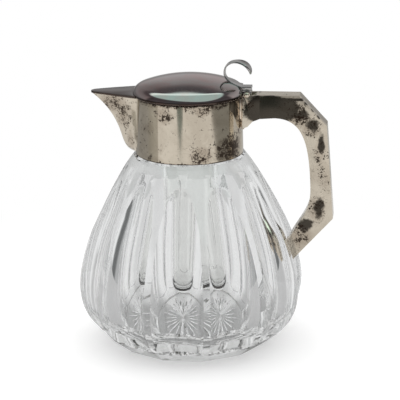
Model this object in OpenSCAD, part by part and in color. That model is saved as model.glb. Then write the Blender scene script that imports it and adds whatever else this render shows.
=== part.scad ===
// Claret jug: a pear-shaped cut-glass body with a silver-plated collar, spout, hinged lid
// and angular hollow handle, and a glass ice tube that hangs inside the body.
// The origin is the centre of the underside. The handle is at +X and the spout at -X.

/* [Glass body] */
// Height of the glass shoulder, where the collar stands
shoulder_z = 169.6; // [150:0.2:200]
// Radius of the ridges at the belly
belly_r = 99.1; // [85:0.1:110]
// Height of the widest place of the belly
belly_z = 52; // [45:1:65]
// Radius of the corners of the foot
foot_r = 67; // [55:0.5:75]
// How much wider than the collar the glass is where they meet
shoulder_lip = 1.6; // [0.8:0.1:2.4]
// Number of concave flutes round the body
flutes = 12; // [11:1:14]
// Radius of the wheel that cuts a flute, measured across the flute
flute_wheel_r = 45; // [40:1:80]
// Width of the plain strip left on each ridge
ridge_w = 6; // [3:0.5:8]
// Depth below the shoulder at which the flutes run out in pointed arches
flute_end = 13.6; // [8:0.2:30]
// Thickness of the solid base
base_t = 22; // [14:0.5:26]
// Thickness of the glass behind the middle of a flute
flute_wall = 6; // [5:0.5:8]
// Room for the cement between the neck and the collar
neck_gap = 1.6; // [1:0.1:3]
// Thickness of the neck
neck_wall = 6; // [4:0.5:7]
// Length of the neck above the shoulder
neck_len = 15; // [10:0.5:18]

/* [Ice tube] */
// Outer radius of the ice tube
tube_r = 24; // [18:0.5:28]
// Wall of the ice tube
tube_wall = 3; // [2:0.25:4]
// Height of the tube's round bottom above the table
tube_bottom_z = 43; // [30:1:60]
// Thickness of the tube's bottom
tube_bottom_t = 6; // [5:0.5:14]
// Radius of the corner round the ice tube's bottom
tube_corner = 9; // [6:0.5:12]
// Overhang of the tube's rim
tube_rim = 3.5; // [3:0.25:5]
// Thickness of the tube's rim
tube_rim_t = 2.4; // [1.5:0.1:3]
// Thickness of the seat ring's plate
seat_plate_t = 1.5; // [1:0.1:2.5]
// Depth of the sleeve under the seat ring
seat_sleeve_h = 6; // [3:0.5:9]

/* [Collar] */
// Outer radius of the collar at its foot
collar_r = 46.8; // [44:0.1:50]
// How much narrower the collar is at its top
collar_taper = 0.8; // [0:0.1:1]
// Height of the collar
collar_h = 51.4; // [46:0.2:58]
// Wall of the collar
collar_wall = 1.2; // [0.8:0.1:1.5]
// Height of the rim ring inside the top of the collar
rim_h = 6.4; // [5.5:0.1:8]
// Thickness of the rim ring's seat ledge
ledge_t = 1.4; // [1:0.1:2]
// Width of the rim ring's seat ledge
ledge_w = 3.6; // [2.5:0.1:4.5]
// Half width of the pouring mouth at its top
mouth_half_w = 12; // [8:0.5:14]
// Height of the pouring mouth
mouth_h = 26; // [18:0.5:30]

/* [Spout] */
// Overhang of the spout's tip beyond the collar
spout_len = 38.2; // [30:0.2:46]
// Overhang of the bend low on the spout's keel beyond the collar
spout_bend_out = 12.6; // [10:0.2:15]
// Height of that bend above the collar's foot
spout_bend_h = 14; // [11:0.5:18]
// Half width of the spout where its top meets the collar
spout_half_w = 19.6; // [15:0.2:22]
// Radius of the spout's tip
spout_tip_r = 2.2; // [1.5:0.1:3.5]
// Sheet thickness of the spout
spout_wall = 1; // [0.7:0.1:1.4]

/* [Lid] */
// Overhang of the lid's side beyond the collar
lid_lap = 1.7; // [1:0.1:2]
// Radius of the curve of the lid's side
roll_r = 9.6; // [7:0.1:11]
// Depth of that curve's centre below the underside of the lid
roll_sink = 0.4; // [0:0.1:1]
// Height of the dome above the underside of the lid
lid_h = 16.1; // [14:0.1:20]
// Sheet thickness of the lid
lid_wall = 1.1; // [0.8:0.1:1.5]
// Thickness of the plate under the lid, which also covers the spout
plate_t = 1.6; // [1.2:0.1:2.2]
// Width of the plate's ring under the lid
plate_ring_w = 4.2; // [3.6:0.1:5]
// How much wider than the spout its cover is on each side where it meets the lid
cover_side_lap = 1.9; // [1:0.1:3]
// Overhang of the cover beyond the spout's tip
cover_lap = 0.3; // [0.1:0.1:1]
// Radius of the cover's rounded nose
cover_nose_r = 5.5; // [3:0.1:7]
// Gap between the closed lid and the collar
lid_gap = 0.3; // [0.2:0.05:0.5]
// Radius of the thumbpiece's curl
curl_r = 11; // [9:0.5:12]
// Thickness of the thumbpiece's strip
thumb_t = 1.5; // [1.2:0.1:2]
// Width of the leaf at the end of the thumbpiece
leaf_w = 14; // [10:0.5:16]
// Width of the thumbpiece at its narrow stem
stem_w = 6; // [5:0.5:8]

/* [Hinge] */
// Distance of the hinge axis from the foot of the collar's wall
hinge_out = 4.2; // [4:0.1:6]
// Height of the hinge axis above the collar's top
hinge_rise = 1.3; // [0.8:0.1:2]
// Radius of the hinge pin
pin_r = 1.5; // [1.2:0.1:1.8]
// Radial running clearance of the pin in the lid's lug
pin_clear = 0.05; // [0.02:0.01:0.09]
// Thickness of the hinge lug along the pin
lug_w = 10.8; // [8:0.2:11.2]
// Side clearance of the lug between the cheeks
lug_gap = 0.4; // [0.3:0.05:0.6]
// Wall of the lug's knuckle round the pin
knuckle_wall = 2.1; // [1.6:0.1:2.4]
// Height of the lug above the hinge axis
lug_rise = 6.3; // [5.5:0.1:7.5]
// Depth of the lug in front of the hinge axis, towards the lid
lug_fore = 7.2; // [6:0.1:8]
// Depth of the lug behind the hinge axis
lug_aft = 3.7; // [3:0.1:3.9]
// Furthest angle that the lid opens to
lid_open = 62; // [45:1:62]
// Overhang of the pin's heads
head_lap = 0.7; // [0.4:0.1:1]
// Wall of the bracket's cheeks round the pin
cheek_wall = 1.2; // [0.9:0.1:1.4]
// Thickness of the pin's heads
head_t = 0.8; // [0.5:0.1:1]

/* [Handle] */
// Width of the handle across the jug
handle_w = 18; // [16:0.5:21]
// Overhang of the handle's lower corner beyond the belly
handle_out = 26.2; // [22:0.1:36]
// How much nearer than the lower corner the side corner is
side_lean = 5.9; // [3:0.1:10]
// Run of the slanted edge at the top of the handle
slant_run = 23.5; // [18:0.5:30]
// Drop of that slanted edge
slant_drop = 25.5; // [18:0.5:30]
// Height of the tip of the handle's foot above the table
foot_tip_z = 75.8; // [70:0.2:82]
// Height of the handle's foot along the glass
foot_rise = 17; // [14:0.5:22]
// Gap between the handle's foot and the glass
foot_gap = 0.5; // [0.3:0.1:1]
// Height of the handle's arm at its lowest
arm_h = 19.5; // [16:0.5:22]
// Depth of the grip, from its inner side to the lower corner
grip_d = 19.5; // [17:0.5:23]
// Sheet thickness of the handle
handle_wall = 1.2; // [0.8:0.1:1.6]
// Height of the handle's lower corner above the table
low_corner_z = 114.4; // [108:0.2:120]
// Length of the hinge bracket behind the hinge axis, where the hollow handle starts
bracket_len = 11; // [10:0.2:15]
// Thickness of the plate that closes the handle's foot
foot_cap_t = 1.4; // [1:0.1:2]
// Thickness of the root plate on the collar
root_plate_t = 1.1; // [0.8:0.1:1.5]
// Half width of the root plate
root_plate_half_w = 11; // [9.5:0.5:13]

/* [Hidden] */
$fn = 96;

silver = [0.78, 0.74, 0.68];
dark_silver = [0.52, 0.49, 0.48];
clear_glass = [0.85, 0.88, 0.88, 0.4];
plaster = [0.85, 0.83, 0.78];

hair = 0.05;
big = 400;

// Places that follow from the driving sizes
shoulder_r = collar_r + shoulder_lip;
neck_r = collar_r - collar_wall - neck_gap;
lid_r = collar_r + lid_lap;
hinge_x = collar_r + hinge_out;
bracket_end_x = hinge_x + bracket_len;
handle_reach = belly_r + handle_out;
spout_reach = collar_r + spout_len;
spout_bend_x = collar_r + spout_bend_out;
cover_half_w = spout_half_w + cover_side_lap;
knuckle_r = pin_r + knuckle_wall;
head_r = pin_r + head_lap;

// Heights that follow from the driving sizes
collar_z = shoulder_z + 0.4;
flute_top_z = shoulder_z - flute_end;
collar_top = collar_z + collar_h;
lid_z = collar_top + lid_gap;
hinge_z = collar_top + hinge_rise;
lid_top = lid_z + lid_h;
neck_top = shoulder_z + neck_len;
ledge_top = collar_top - rim_h + ledge_t;
seat_z = ledge_top + 0.3;
seat_top = seat_z + seat_plate_t;
tube_top = seat_top + tube_rim_t;
mouth_top = collar_top - rim_h - 0.6;

function collar_out(z) = collar_r - collar_taper * (z - collar_z) / collar_h;
function collar_in(z) = collar_out(z) - collar_wall;

// A cubic curve from a to d that leaves towards b and arrives from c
function bezier(a, b, c, d, steps, first = 0) = [for (i = [first:steps])
    let (t = i / steps, s = 1 - t)
    s * s * s * a + 3 * s * s * t * b + 3 * s * t * t * c + t * t * t * d];

// Outline of the body: the radius of its ridges, from the foot to the shoulder
waist_z = 0.69 * flute_top_z;
waist_r = belly_r * 0.85;
body_side = concat(
    bezier([foot_r, 0], [foot_r + 11, 10], [belly_r, belly_z - 32], [belly_r, belly_z], 9),
    bezier([belly_r, belly_z], [belly_r, belly_z + 15], [waist_r + 7.6, waist_z - 15],
        [waist_r, waist_z], 5, 1),
    bezier([waist_r, waist_z], [waist_r - 11.4, waist_z + 24], [shoulder_r + 10, shoulder_z - 13],
        [shoulder_r, shoulder_z - 0.6], 7, 1));

// Depth of the cut as a share of its full depth, which fades at the top and at the foot
function fade(z) = z < 12 ? z / 12 : min(1, pow(max(0, (flute_top_z - z) / 34), 0.7));
half_turn = 180 / flutes;

// Radius of the bottom of a flute on a body whose ridges have radius r, with its full depth
function flute_bottom(r) = let (a = half_turn - asin(ridge_w / 2 / r))
    r * cos(a) + sqrt(flute_wheel_r * flute_wheel_r - pow(r * sin(a), 2)) - flute_wheel_r;

// Radius at angle a from the middle of a flute, where the ridges have radius r.
// The facets of the foot bow out by a hair.
facet_bow = 0.15;
function cut_radius(a, r, z) = let (
        facet = r * cos(half_turn),
        flat = facet / cos(a) + facet_bow * (1 - pow(a / half_turn, 2)),
        bottom = z < 12 ? facet + facet_bow + (flute_bottom(r) - facet) * fade(z)
            : r + (flute_bottom(r) - r) * fade(z),
        d = bottom + flute_wheel_r,
        wheel = d * cos(a) - sqrt(max(0, flute_wheel_r * flute_wheel_r - pow(d * sin(a), 2))))
    z < 12 ? min(flat, max(wheel, 0)) : min(r, wheel);

// Places of the ring's points in one flute's sector, as shares of it from ridge to ridge.
// The middle of a flute faces the handle.
sector = [0, 0.055, 0.18, 0.34, 0.5, 0.66, 0.82, 0.945];
around = flutes * len(sector);
function turn_of(i) = (floor(i / len(sector)) + sector[i % len(sector)] - 0.5) * 2 * half_turn;
function off_flute(i) = (sector[i % len(sector)] * 2 - 1) * half_turn;

// Inside of the body: the wall behind the flutes, then the neck
neck_in = neck_r - neck_wall;
floor_r = foot_r - 8;
inner_side = concat(
    [for (p = body_side) if (p[1] > base_t + 6 && p[1] < shoulder_z - 9)
        [max(neck_in, min(p[0] * cos(half_turn), flute_bottom(p[0])
            + (p[0] - flute_bottom(p[0])) * (1 - fade(p[1]))) - flute_wall), p[1]]],
    [[neck_in, shoulder_z - 2], [neck_in, neck_top]]);

outer_rings = concat(
    [for (p = body_side) [for (i = [0:around - 1]) let (r = cut_radius(off_flute(i), p[0], p[1]))
        [r * cos(turn_of(i)), r * sin(turn_of(i)), p[1]]]],
    [for (p = [[neck_r + 0.9, shoulder_z], [neck_r, shoulder_z + 0.8], [neck_r, neck_top - 1.5],
            [neck_r - 1.5, neck_top]])
        round_ring(p)]);
inner_rings = concat(
    [for (i = [len(inner_side) - 1:-1:0]) round_ring(inner_side[i])],
    [round_ring([floor_r, base_t + 1.2]), round_ring([floor_r - 6, base_t])]);
function round_ring(p) = [for (i = [0:around - 1])
    [p[0] * cos(turn_of(i)), p[0] * sin(turn_of(i)), p[1]]];

// Closed solid through rings of n points each, with a flat cap at both ends
module ringed_solid(rings) {
    n = len(rings[0]);
    last = len(rings) - 1;
    polyhedron(
        points = [for (ring = rings) for (p = ring) p],
        faces = concat(
            [[for (i = [0:n - 1]) i]],
            [for (k = [0:last - 1]) for (i = [0:n - 1]) for (half = [0, 1])
                let (j = (i + 1) % n, low = k * n, high = low + n)
                half == 0 ? [low + i, high + i, low + j] : [low + j, high + i, high + j]],
            [[for (i = [n - 1:-1:0]) last * n + i]]),
        convexity = 8);
}

module glass_body() {
    color(clear_glass)
        ringed_solid(concat(outer_rings, inner_rings));
}

// Solid of revolution between an outer and an inner outline, both listed from the bottom up
module turned(outer, inner) {
    rotate_extrude()
        polygon(concat(outer, [for (i = [len(inner) - 1:-1:0]) inner[i]]));
}

// Round-cornered tube of radius r with its foot at height z
module tube_round(r, z) {
    corner = tube_corner - (tube_r - r);
    rotate_extrude()
        polygon(concat([[0, z]],
            [for (a = [0:9:90]) [r - corner + corner * sin(a), z + corner - corner * cos(a)]],
            [[r, tube_top], [0, tube_top]]));
}

module ice_tube() {
    color(clear_glass)
        difference() {
            union() {
                tube_round(tube_r, tube_bottom_z);
                translate([0, 0, seat_top])
                    cylinder(r = tube_r + tube_rim, h = tube_rim_t);
            }
            translate([0, 0, tube_bottom_t])
                tube_round(tube_r - tube_wall, tube_bottom_z);
            translate([0, 0, tube_top - hair])
                cylinder(r = tube_r - tube_wall, h = tube_bottom_t + 1);
        }
}

// Plate that rests on the collar's ledge and carries the ice tube, with a sleeve round the tube
module ice_tube_ring() {
    flange_r = collar_in(collar_top) - 2.2;
    hole_r = tube_r + 0.4;
    color(silver)
        difference() {
            union() {
                translate([0, 0, seat_z])
                    cylinder(r = flange_r, h = seat_plate_t);
                translate([0, 0, seat_z - seat_sleeve_h])
                    cylinder(r = hole_r + 1, h = seat_sleeve_h + hair);
            }
            translate([0, 0, seat_z - seat_sleeve_h - 1])
                cylinder(r = hole_r, h = big);
        }
}

// The pouring mouth: wide at its top and narrow at its foot, as the spout is
module mouth_shape(grow = 0) {
    foot = mouth_top - mouth_h;
    foot_half_w = mouth_half_w * 0.45;
    translate([-collar_r - 5, 0, 0])
        rotate([90, 0, 90])
            linear_extrude(12)
                polygon([[-foot_half_w, foot], [foot_half_w, foot], [mouth_half_w, mouth_top - 4],
                    [mouth_half_w - 2, mouth_top], [2 - mouth_half_w, mouth_top],
                    [-mouth_half_w, mouth_top - 4]]);
}

module collar_band() {
    color(silver)
        difference() {
            translate([0, 0, collar_z])
                cylinder(r1 = collar_r, r2 = collar_r - collar_taper, h = collar_h);
            translate([0, 0, collar_z])
                cylinder(r1 = collar_r - collar_wall, r2 = collar_r - collar_taper - collar_wall,
                    h = collar_h);
            translate([0, 0, collar_z - 1])
                cylinder(r = collar_r - collar_wall, h = 1 + hair / 10);
            translate([0, 0, collar_top - hair / 10])
                cylinder(r = collar_r - collar_taper - collar_wall, h = 1);
            mouth_shape();
        }
}

// Ring inside the top of the collar, with the ledge that the ice tube's ring rests on
module collar_rim() {
    foot = collar_top - rim_h;
    color(silver)
        rotate_extrude()
            polygon([[collar_in(foot) - ledge_w, foot], [collar_in(foot), foot],
                [collar_in(collar_top), collar_top], [collar_in(collar_top) - 1.4, collar_top],
                [collar_in(collar_top) - 1.4, ledge_top], [collar_in(foot) - ledge_w, ledge_top]]);
}

// The cement that holds the neck in the collar
module collar_plaster() {
    foot = shoulder_z + 1;
    top = neck_top - 2;
    color(plaster)
        rotate_extrude()
            polygon([[neck_r, foot], [collar_in(foot), foot], [collar_in(top), top],
                [neck_r, top]]);
}

// Keel of the spout, from its foot on the collar to its tip
spout_foot_z = collar_z + 0.3;
keel_bend = [-spout_bend_x, collar_z + spout_bend_h];
keel = concat(
    bezier([0.2 - collar_r, spout_foot_z], [-collar_r - 6.7, spout_foot_z - 0.2],
        keel_bend + [2.9, -10], keel_bend, 5),
    bezier(keel_bend, keel_bend + [-3.4, 11.7], [16 - spout_reach, collar_top - 12.4],
        [-spout_reach, collar_top], 7, 1));

// Half width of the spout's section at share t of its height
spout_shares = [[0, 0.25], [0.03, 0.5], [0.09, 0.72], [0.2, 0.84], [0.5, 0.92], [1, 1]];
function spout_half(t) = spout_half_w * lookup(t, spout_shares);

// One level section: from the collar at +y, round the keel, and back to the collar at -y
function spout_section(k, wall) = let (
        p = keel[k],
        t = (p[1] - spout_foot_z) / (collar_top - spout_foot_z),
        half = max(spout_half(t), 1.5) - wall,
        tip = -p[0] - wall * 1.6,
        nose = spout_tip_r * (0.4 + 0.6 * t),
        root = collar_r * 0.84)
    [for (s = [[root, half], [collar_r - 1, half],
            [mix(collar_r, tip, 0.55), mix(half, nose, 0.6)], [tip - nose * 0.7, nose * 0.9],
            [tip, 0], [tip - nose * 0.7, -nose * 0.9],
            [mix(collar_r, tip, 0.55), -mix(half, nose, 0.6)], [collar_r - 1, -half],
            [root, -half]])
        [-s[0], s[1], p[1]]];
function mix(a, b, t) = a + (b - a) * t;

module spout_solid(wall, first, rise) {
    levels = len(keel) - 1;
    ringed_solid(concat(
        [for (k = [first:levels]) spout_section(k, wall)],
        [[for (p = spout_section(levels, wall)) [p[0], p[1], collar_top + rise]]]));
}

// Sheet-metal trough in front of the pouring mouth
module spout_body() {
    color(silver)
        difference() {
            spout_solid(0, 1, hair);
            spout_solid(spout_wall, 3, 2);
            translate([0, 0, collar_z])
                cylinder(r1 = collar_r, r2 = collar_r - collar_taper, h = collar_h);
            translate([0, 0, collar_top])
                cylinder(r = collar_r + 60, h = 10);
        }
}

// The dome is part of a ball, which runs into the tighter curve of the lid's side
roll_x = lid_r - roll_r;
roll_z = lid_z - roll_sink;
dome_rise = lid_top - roll_z;
dome_r = (roll_x * roll_x + dome_rise * dome_rise - roll_r * roll_r) / (2 * (dome_rise - roll_r));
join_a = acos(roll_x / (dome_r - roll_r));
plate_top = lid_z + plate_t;
function dome_z(r, shell) = lid_top - dome_r + sqrt(pow(dome_r - shell, 2) - r * r);

function lid_outline(shell) = concat(
    [for (i = [0:8]) let (a = asin((plate_top - roll_z) / (roll_r - shell)) * (1 - i / 8) + join_a * i / 8)
        [roll_x + (roll_r - shell) * cos(a), i == 0 ? plate_top : roll_z + (roll_r - shell) * sin(a)]],
    [for (share = [0.92, 0.7, 0.47, 0.23, 0])
        let (r = share * (dome_r - shell) * cos(join_a)) [r, dome_z(r, shell)]]);

module lid_dome() {
    color(dark_silver)
        turned(lid_outline(0), lid_outline(lid_wall));
}

// Ring under the dome and the flat cover over the spout, in one piece
plate_r = roll_x + sqrt(roll_r * roll_r - pow(roll_z - plate_top, 2));
cover_tip_x = spout_reach + cover_lap;
module lid_plate() {
    color(dark_silver)
        translate([0, 0, lid_z])
            linear_extrude(plate_t)
                difference() {
                    union() {
                        circle(r = plate_r);
                        polygon(concat(
                            [[-plate_r * 0.85, cover_half_w], [-plate_r - 6, cover_half_w * 0.77]],
                            [for (a = [105:10:255])
                                [-cover_tip_x + cover_nose_r + cover_nose_r * cos(a),
                                    cover_nose_r * sin(a)]],
                            [[-plate_r - 6, -cover_half_w * 0.77], [-plate_r * 0.85, -cover_half_w]]));
                    }
                    circle(r = plate_r - plate_ring_w);
                }
}

// The lid as a solid, which is cut from what is soldered to it
module lid_space() {
    rotate_extrude()
        polygon(concat([[0, lid_z - 1], [plate_r, lid_z - 1]], lid_outline(0)));
}

// Middle line of the thumbpiece: root on the lug, stem, curl and leaf
lug_front = hinge_x - lug_fore;
lug_back = hinge_x + lug_aft;
lug_top = hinge_z + lug_rise;
thumb_root = [lug_front + 2, lug_top - 1];
stem = [lug_front - 1.05 * curl_r, lug_top + 1.08 * curl_r];
crown = stem + [0.77, 0.82] * curl_r;
leaf_tip = crown + [1.18, -1] * curl_r;
thumb_line = concat(
    bezier(thumb_root, thumb_root + [-0.64, 0.26] * curl_r, stem - [0, 0.54] * curl_r, stem, 8),
    bezier(stem, stem + [0, 0.54] * curl_r, crown - [0.36, 0] * curl_r, crown, 4, 1),
    bezier(crown, crown + [0.54, 0] * curl_r, leaf_tip + [-0.04, 0.54] * curl_r, leaf_tip, 6, 1));

// Widths of the strip along that line, by share of its points
thumb_widths = [[0, 15], [0.14, 11], [0.3, stem_w], [0.55, stem_w + 1], [0.7, leaf_w * 0.8],
    [0.84, leaf_w], [0.94, leaf_w * 0.75], [1, leaf_w * 0.3]];

module thumbpiece() {
    last = len(thumb_line) - 1;
    rings = [for (i = [0:last])
        let (p = thumb_line[i], a = thumb_line[max(i - 1, 0)], b = thumb_line[min(i + 1, last)],
            way = (b - a) / norm(b - a), side = [-way[1], way[0]] * thumb_t / 2,
            half = lookup(i / last, thumb_widths) / 2)
        [[p[0] + side[0], half, p[1] + side[1]], [p[0] - side[0], half, p[1] - side[1]],
            [p[0] - side[0], -half, p[1] - side[1]], [p[0] + side[0], -half, p[1] + side[1]]]];
    color(dark_silver)
        difference() {
            ringed_solid(rings);
            lid_space();
            lug_block();
        }
}

// Block on the back of the lid, above the pin
module lug_block() {
    translate([0, lug_w / 2, 0])
        rotate([90, 0, 0])
            linear_extrude(lug_w)
                polygon([[lug_front, lid_z + 3], [hinge_x - knuckle_r * 0.7, hinge_z],
                    [lug_back, hinge_z], [lug_back, lug_top], [lug_front, lug_top]]);
}

module lid_lug() {
    color(dark_silver)
        difference() {
            union() {
                lug_block();
                translate([hinge_x, lug_w / 2, hinge_z])
                    rotate([90, 0, 0])
                        cylinder(r = knuckle_r, h = lug_w);
            }
            translate([hinge_x, lug_w, hinge_z])
                rotate([90, 0, 0])
                    cylinder(r = pin_r + pin_clear, h = 2 * lug_w);
            lid_space();
        }
}

// Outline of the handle, from the bracket round the outer corners to the foot
handle_top = collar_top + 1.1;
side_corner = [handle_reach - side_lean, handle_top - slant_drop];
top_corner = [side_corner[0] - slant_run, handle_top];
low_corner = [handle_reach, low_corner_z];

// How far the glass comes out at height z, over the handle's width
side_radii = [for (p = body_side) [p[1], p[0]]];
function glass_x(z) = let (r = lookup(z, side_radii), a = asin(handle_w / 2 / r))
    cut_radius(a, r, z) * cos(a);
foot_off = foot_gap + foot_cap_t;
foot_tip = [glass_x(foot_tip_z) + foot_off, foot_tip_z];
foot_heel = [glass_x(foot_tip_z + foot_rise) + foot_off, foot_tip_z + foot_rise];

// The grip side: from the foot up to the root on the collar
grip = [handle_reach - grip_d, low_corner_z + 25];
arch = [bracket_end_x + 13, handle_top - arm_h];
arm_root = [bracket_end_x, handle_top - arm_h - 0.9];
grip_side = concat(
    bezier(foot_heel, foot_heel + [6.5, 16], grip - [0, 22], grip, 7),
    bezier(grip, [grip[0] - 0.8, handle_top - 2.05 * arm_h], [grip[0] - 7, arch[1] - 0.5], arch, 8, 1),
    [arm_root]);

// One stamped half of the hollow handle, as far as the middle plane
module handle_half() {
    half = handle_w / 2;
    rotate([90, 0, 0])
        difference() {
            linear_extrude(half)
                polygon(concat([[bracket_end_x, handle_top], top_corner, side_corner, low_corner,
                    foot_tip], grip_side));
            translate([0, 0, -1])
                linear_extrude(half + 1 - handle_wall)
                    polygon(handle_hollow);
        }
}

// The hollow in the handle, a wall inside its outline
handle_hollow = concat(
    [[bracket_end_x, handle_top] + [1, -1] * handle_wall, top_corner - [0.45, 1] * handle_wall,
        side_corner - [1, 0.5] * handle_wall, low_corner - [1, -0.5] * handle_wall,
        foot_tip + [0.54, 2.08] * handle_wall, foot_heel + [1.05, -0.08] * handle_wall],
    [for (i = [1:len(grip_side) - 2]) let (d = grip_side[i + 1] - grip_side[i - 1])
        grip_side[i] + handle_wall * [d[1], -d[0]] / norm(d)],
    [arm_root + [1, 1] * handle_wall]);

module handle_near_half() {
    color(silver)
        handle_half();
}

module handle_far_half() {
    color(silver)
        mirror([0, 1, 0])
            handle_half();
}

// Plate that closes the handle's foot, next to the glass
module handle_foot_cap() {
    along = foot_heel - foot_tip;
    u = along / norm(along);
    out = [-u[1], u[0]];
    color(silver)
        translate([0, handle_w / 2 - 0.4, 0])
            rotate([90, 0, 0])
                linear_extrude(handle_w - 0.8)
                    polygon([foot_tip + 1.5 * u, foot_heel - 0.6 * u,
                        foot_heel - 0.6 * u + foot_cap_t * out, foot_tip + 1.5 * u + foot_cap_t * out]);
}

// Solid root of the handle: two cheeks that hold the pin, with a sloped floor between them
module hinge_bracket() {
    cheek_r = pin_r + cheek_wall;
    root_z = arm_root[1] - 7.2;
    slot_w = lug_w + 2 * lug_gap;
    // The floor follows the back of the lug when the lid stands fully open
    stop_x = hinge_x + lug_rise * sin(lid_open) + (lug_back - hinge_x) * cos(lid_open);
    stop_z = hinge_z + lug_rise * cos(lid_open) - (lug_back - hinge_x) * sin(lid_open);
    slope = [cos(90 - lid_open), sin(90 - lid_open)];
    stop_gap = 0.35;
    floor_z = hinge_z - knuckle_r - 0.5;
    start = [stop_x, stop_z] + stop_gap * [slope[1], -slope[0]];
    reach = (start[1] - floor_z) / slope[1];
    color(silver)
        difference() {
            union() {
                translate([0, handle_w / 2, 0])
                    rotate([90, 0, 0])
                        linear_extrude(handle_w)
                            polygon([[collar_r - 4, root_z - 3], [collar_r + 4.6, root_z],
                                [collar_r + 9, arm_root[1] - 2.5], arm_root,
                                [bracket_end_x, handle_top], [hinge_x + 4.5, handle_top],
                                [hinge_x + 2, hinge_z - 0.4], [hinge_x - 1.5, collar_top - 1],
                                [collar_r - 4, collar_top - 1]]);
                translate([hinge_x, handle_w / 2, hinge_z])
                    rotate([90, 0, 0])
                        cylinder(r = cheek_r, h = handle_w);
            }
            // Slot for the lug, down to the stop
            translate([0, slot_w / 2, 0])
                rotate([90, 0, 0])
                    linear_extrude(slot_w)
                        polygon([[collar_r - 5, floor_z], start - reach * slope, start,
                            start + 20 * slope, [hinge_x, hinge_z + 30], [collar_r - 5, hinge_z + 30]]);
            translate([hinge_x, handle_w, hinge_z])
                rotate([90, 0, 0])
                    cylinder(r = pin_r, h = 2 * handle_w);
            translate([0, 0, collar_z - 20])
                cylinder(r = collar_r + root_plate_t, h = 20 + collar_h);
        }
}

module hinge_pin() {
    color(dark_silver)
        translate([hinge_x, 0, hinge_z])
            rotate([90, 0, 0]) {
                cylinder(r = pin_r, h = handle_w + 0.2, center = true);
                for (side = [-1, 1])
                    translate([0, 0, side * (handle_w + head_t) / 2])
                        cylinder(r = head_r, h = head_t, center = true);
            }
}

// Curved plate that spreads the handle's load over the collar
module handle_root_plate() {
    foot = arm_root[1] - 11.6;
    top = collar_top - 1.4;
    color(silver)
        intersection() {
            difference() {
                translate([0, 0, foot])
                    cylinder(r = collar_r + root_plate_t, h = top - foot);
                translate([0, 0, collar_z])
                    cylinder(r1 = collar_r, r2 = collar_r - collar_taper, h = collar_h);
            }
            rotate([90, 0, 90])
                linear_extrude(big)
                    polygon([[-root_plate_half_w, top], [-root_plate_half_w, foot + 12], [0, foot],
                        [root_plate_half_w, foot + 12], [root_plate_half_w, top]]);
        }
}

glass_body();
ice_tube();
ice_tube_ring();
collar_band();
collar_rim();
collar_plaster();
spout_body();
lid_dome();
lid_plate();
thumbpiece();
lid_lug();
hinge_bracket();
hinge_pin();
handle_near_half();
handle_far_half();
handle_root_plate();
handle_foot_cap();
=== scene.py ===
"""Looks of a cut-glass claret jug with a silver-plated collar, spout, lid and handle.

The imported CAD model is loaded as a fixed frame. Each sub-assembly is a class that builds its
pieces in millimetres and hands them over in metres, in the frame's own coordinates.
"""
import logging
from dataclasses import dataclass, field
from enum import Enum
from functools import partial, reduce
from math import acos, asin, atan, copysign, cos, hypot, pi, radians, sin, sqrt
from typing import Callable, Iterable, Sequence

import bmesh
import bpy
from mathutils import Matrix, Vector


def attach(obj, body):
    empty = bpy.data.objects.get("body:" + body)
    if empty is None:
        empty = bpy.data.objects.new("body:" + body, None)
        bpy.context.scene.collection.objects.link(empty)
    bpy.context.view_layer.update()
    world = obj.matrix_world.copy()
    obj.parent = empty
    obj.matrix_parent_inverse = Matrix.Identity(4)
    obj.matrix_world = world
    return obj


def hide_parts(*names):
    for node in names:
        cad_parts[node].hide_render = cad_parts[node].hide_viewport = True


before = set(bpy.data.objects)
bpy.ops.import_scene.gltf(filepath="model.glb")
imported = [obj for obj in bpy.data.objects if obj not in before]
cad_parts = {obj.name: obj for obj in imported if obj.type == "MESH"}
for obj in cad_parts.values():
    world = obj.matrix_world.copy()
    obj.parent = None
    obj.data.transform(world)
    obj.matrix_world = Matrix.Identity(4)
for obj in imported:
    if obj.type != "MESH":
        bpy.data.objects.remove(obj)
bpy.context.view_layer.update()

MM = 0.001
FULL_TURN = 2.0 * pi
Point2 = tuple[float, float]
Point3 = tuple[float, float, float]
Colour = Point3
Mesh = bmesh.types.BMesh
Edge = bmesh.types.BMEdge
Socket = bpy.types.NodeSocket
Tree = bpy.types.NodeTree
Material = bpy.types.Material

# Sizes in millimetres that several pieces share.
SHOULDER_Z = 169.6
COLLAR_Z = 170.0
COLLAR_TOP = 221.4
COLLAR_R = 46.8
COLLAR_TAPER = 0.8
LID_Z = 221.7
HINGE_X = 51.0
HINGE_Z = 222.7
HALF_WIDTH = 9.0

log = logging.getLogger("claret_jug")


class Kind(Enum):
    """What a piece is: the body that it rides on and its material slot in the record."""

    GLASS = ("jug", "crystal")
    PLATED = ("jug", "silver_plate")
    LID = ("lid", "dark_silver")
    TUBE = ("ice_insert", "tube_glass")
    TUBE_RING = ("ice_insert", "silver_plate")

    @property
    def body(self) -> str:
        """The body's name."""
        return self.value[0]

    @property
    def slot(self) -> str:
        """The material slot's name."""
        return self.value[1]


def bezier(a: Point2, b: Point2, c: Point2, d: Point2, steps: int, first: int = 0) -> list[Point2]:
    """Samples a cubic curve in a plane.

    Args:
        a: Start point.
        b: Point that the curve leaves towards.
        c: Point that the curve arrives from.
        d: End point.
        steps: Number of stretches.
        first: Index of the first sample that is kept.

    Returns:
        The points from a to d.
    """
    points = []
    for i in range(first, steps + 1):
        t = i / steps
        s = 1.0 - t
        w = (s ** 3, 3 * s * s * t, 3 * s * t * t, t ** 3)
        points.append(tuple(w[0] * a[k] + w[1] * b[k] + w[2] * c[k] + w[3] * d[k] for k in (0, 1)))
    return points


def polar(r: float, turn: float, z: float) -> Vector:
    """Returns the point at a radius, an angle in radians from +X and a height."""
    return Vector((r * cos(turn), r * sin(turn), z))


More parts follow.
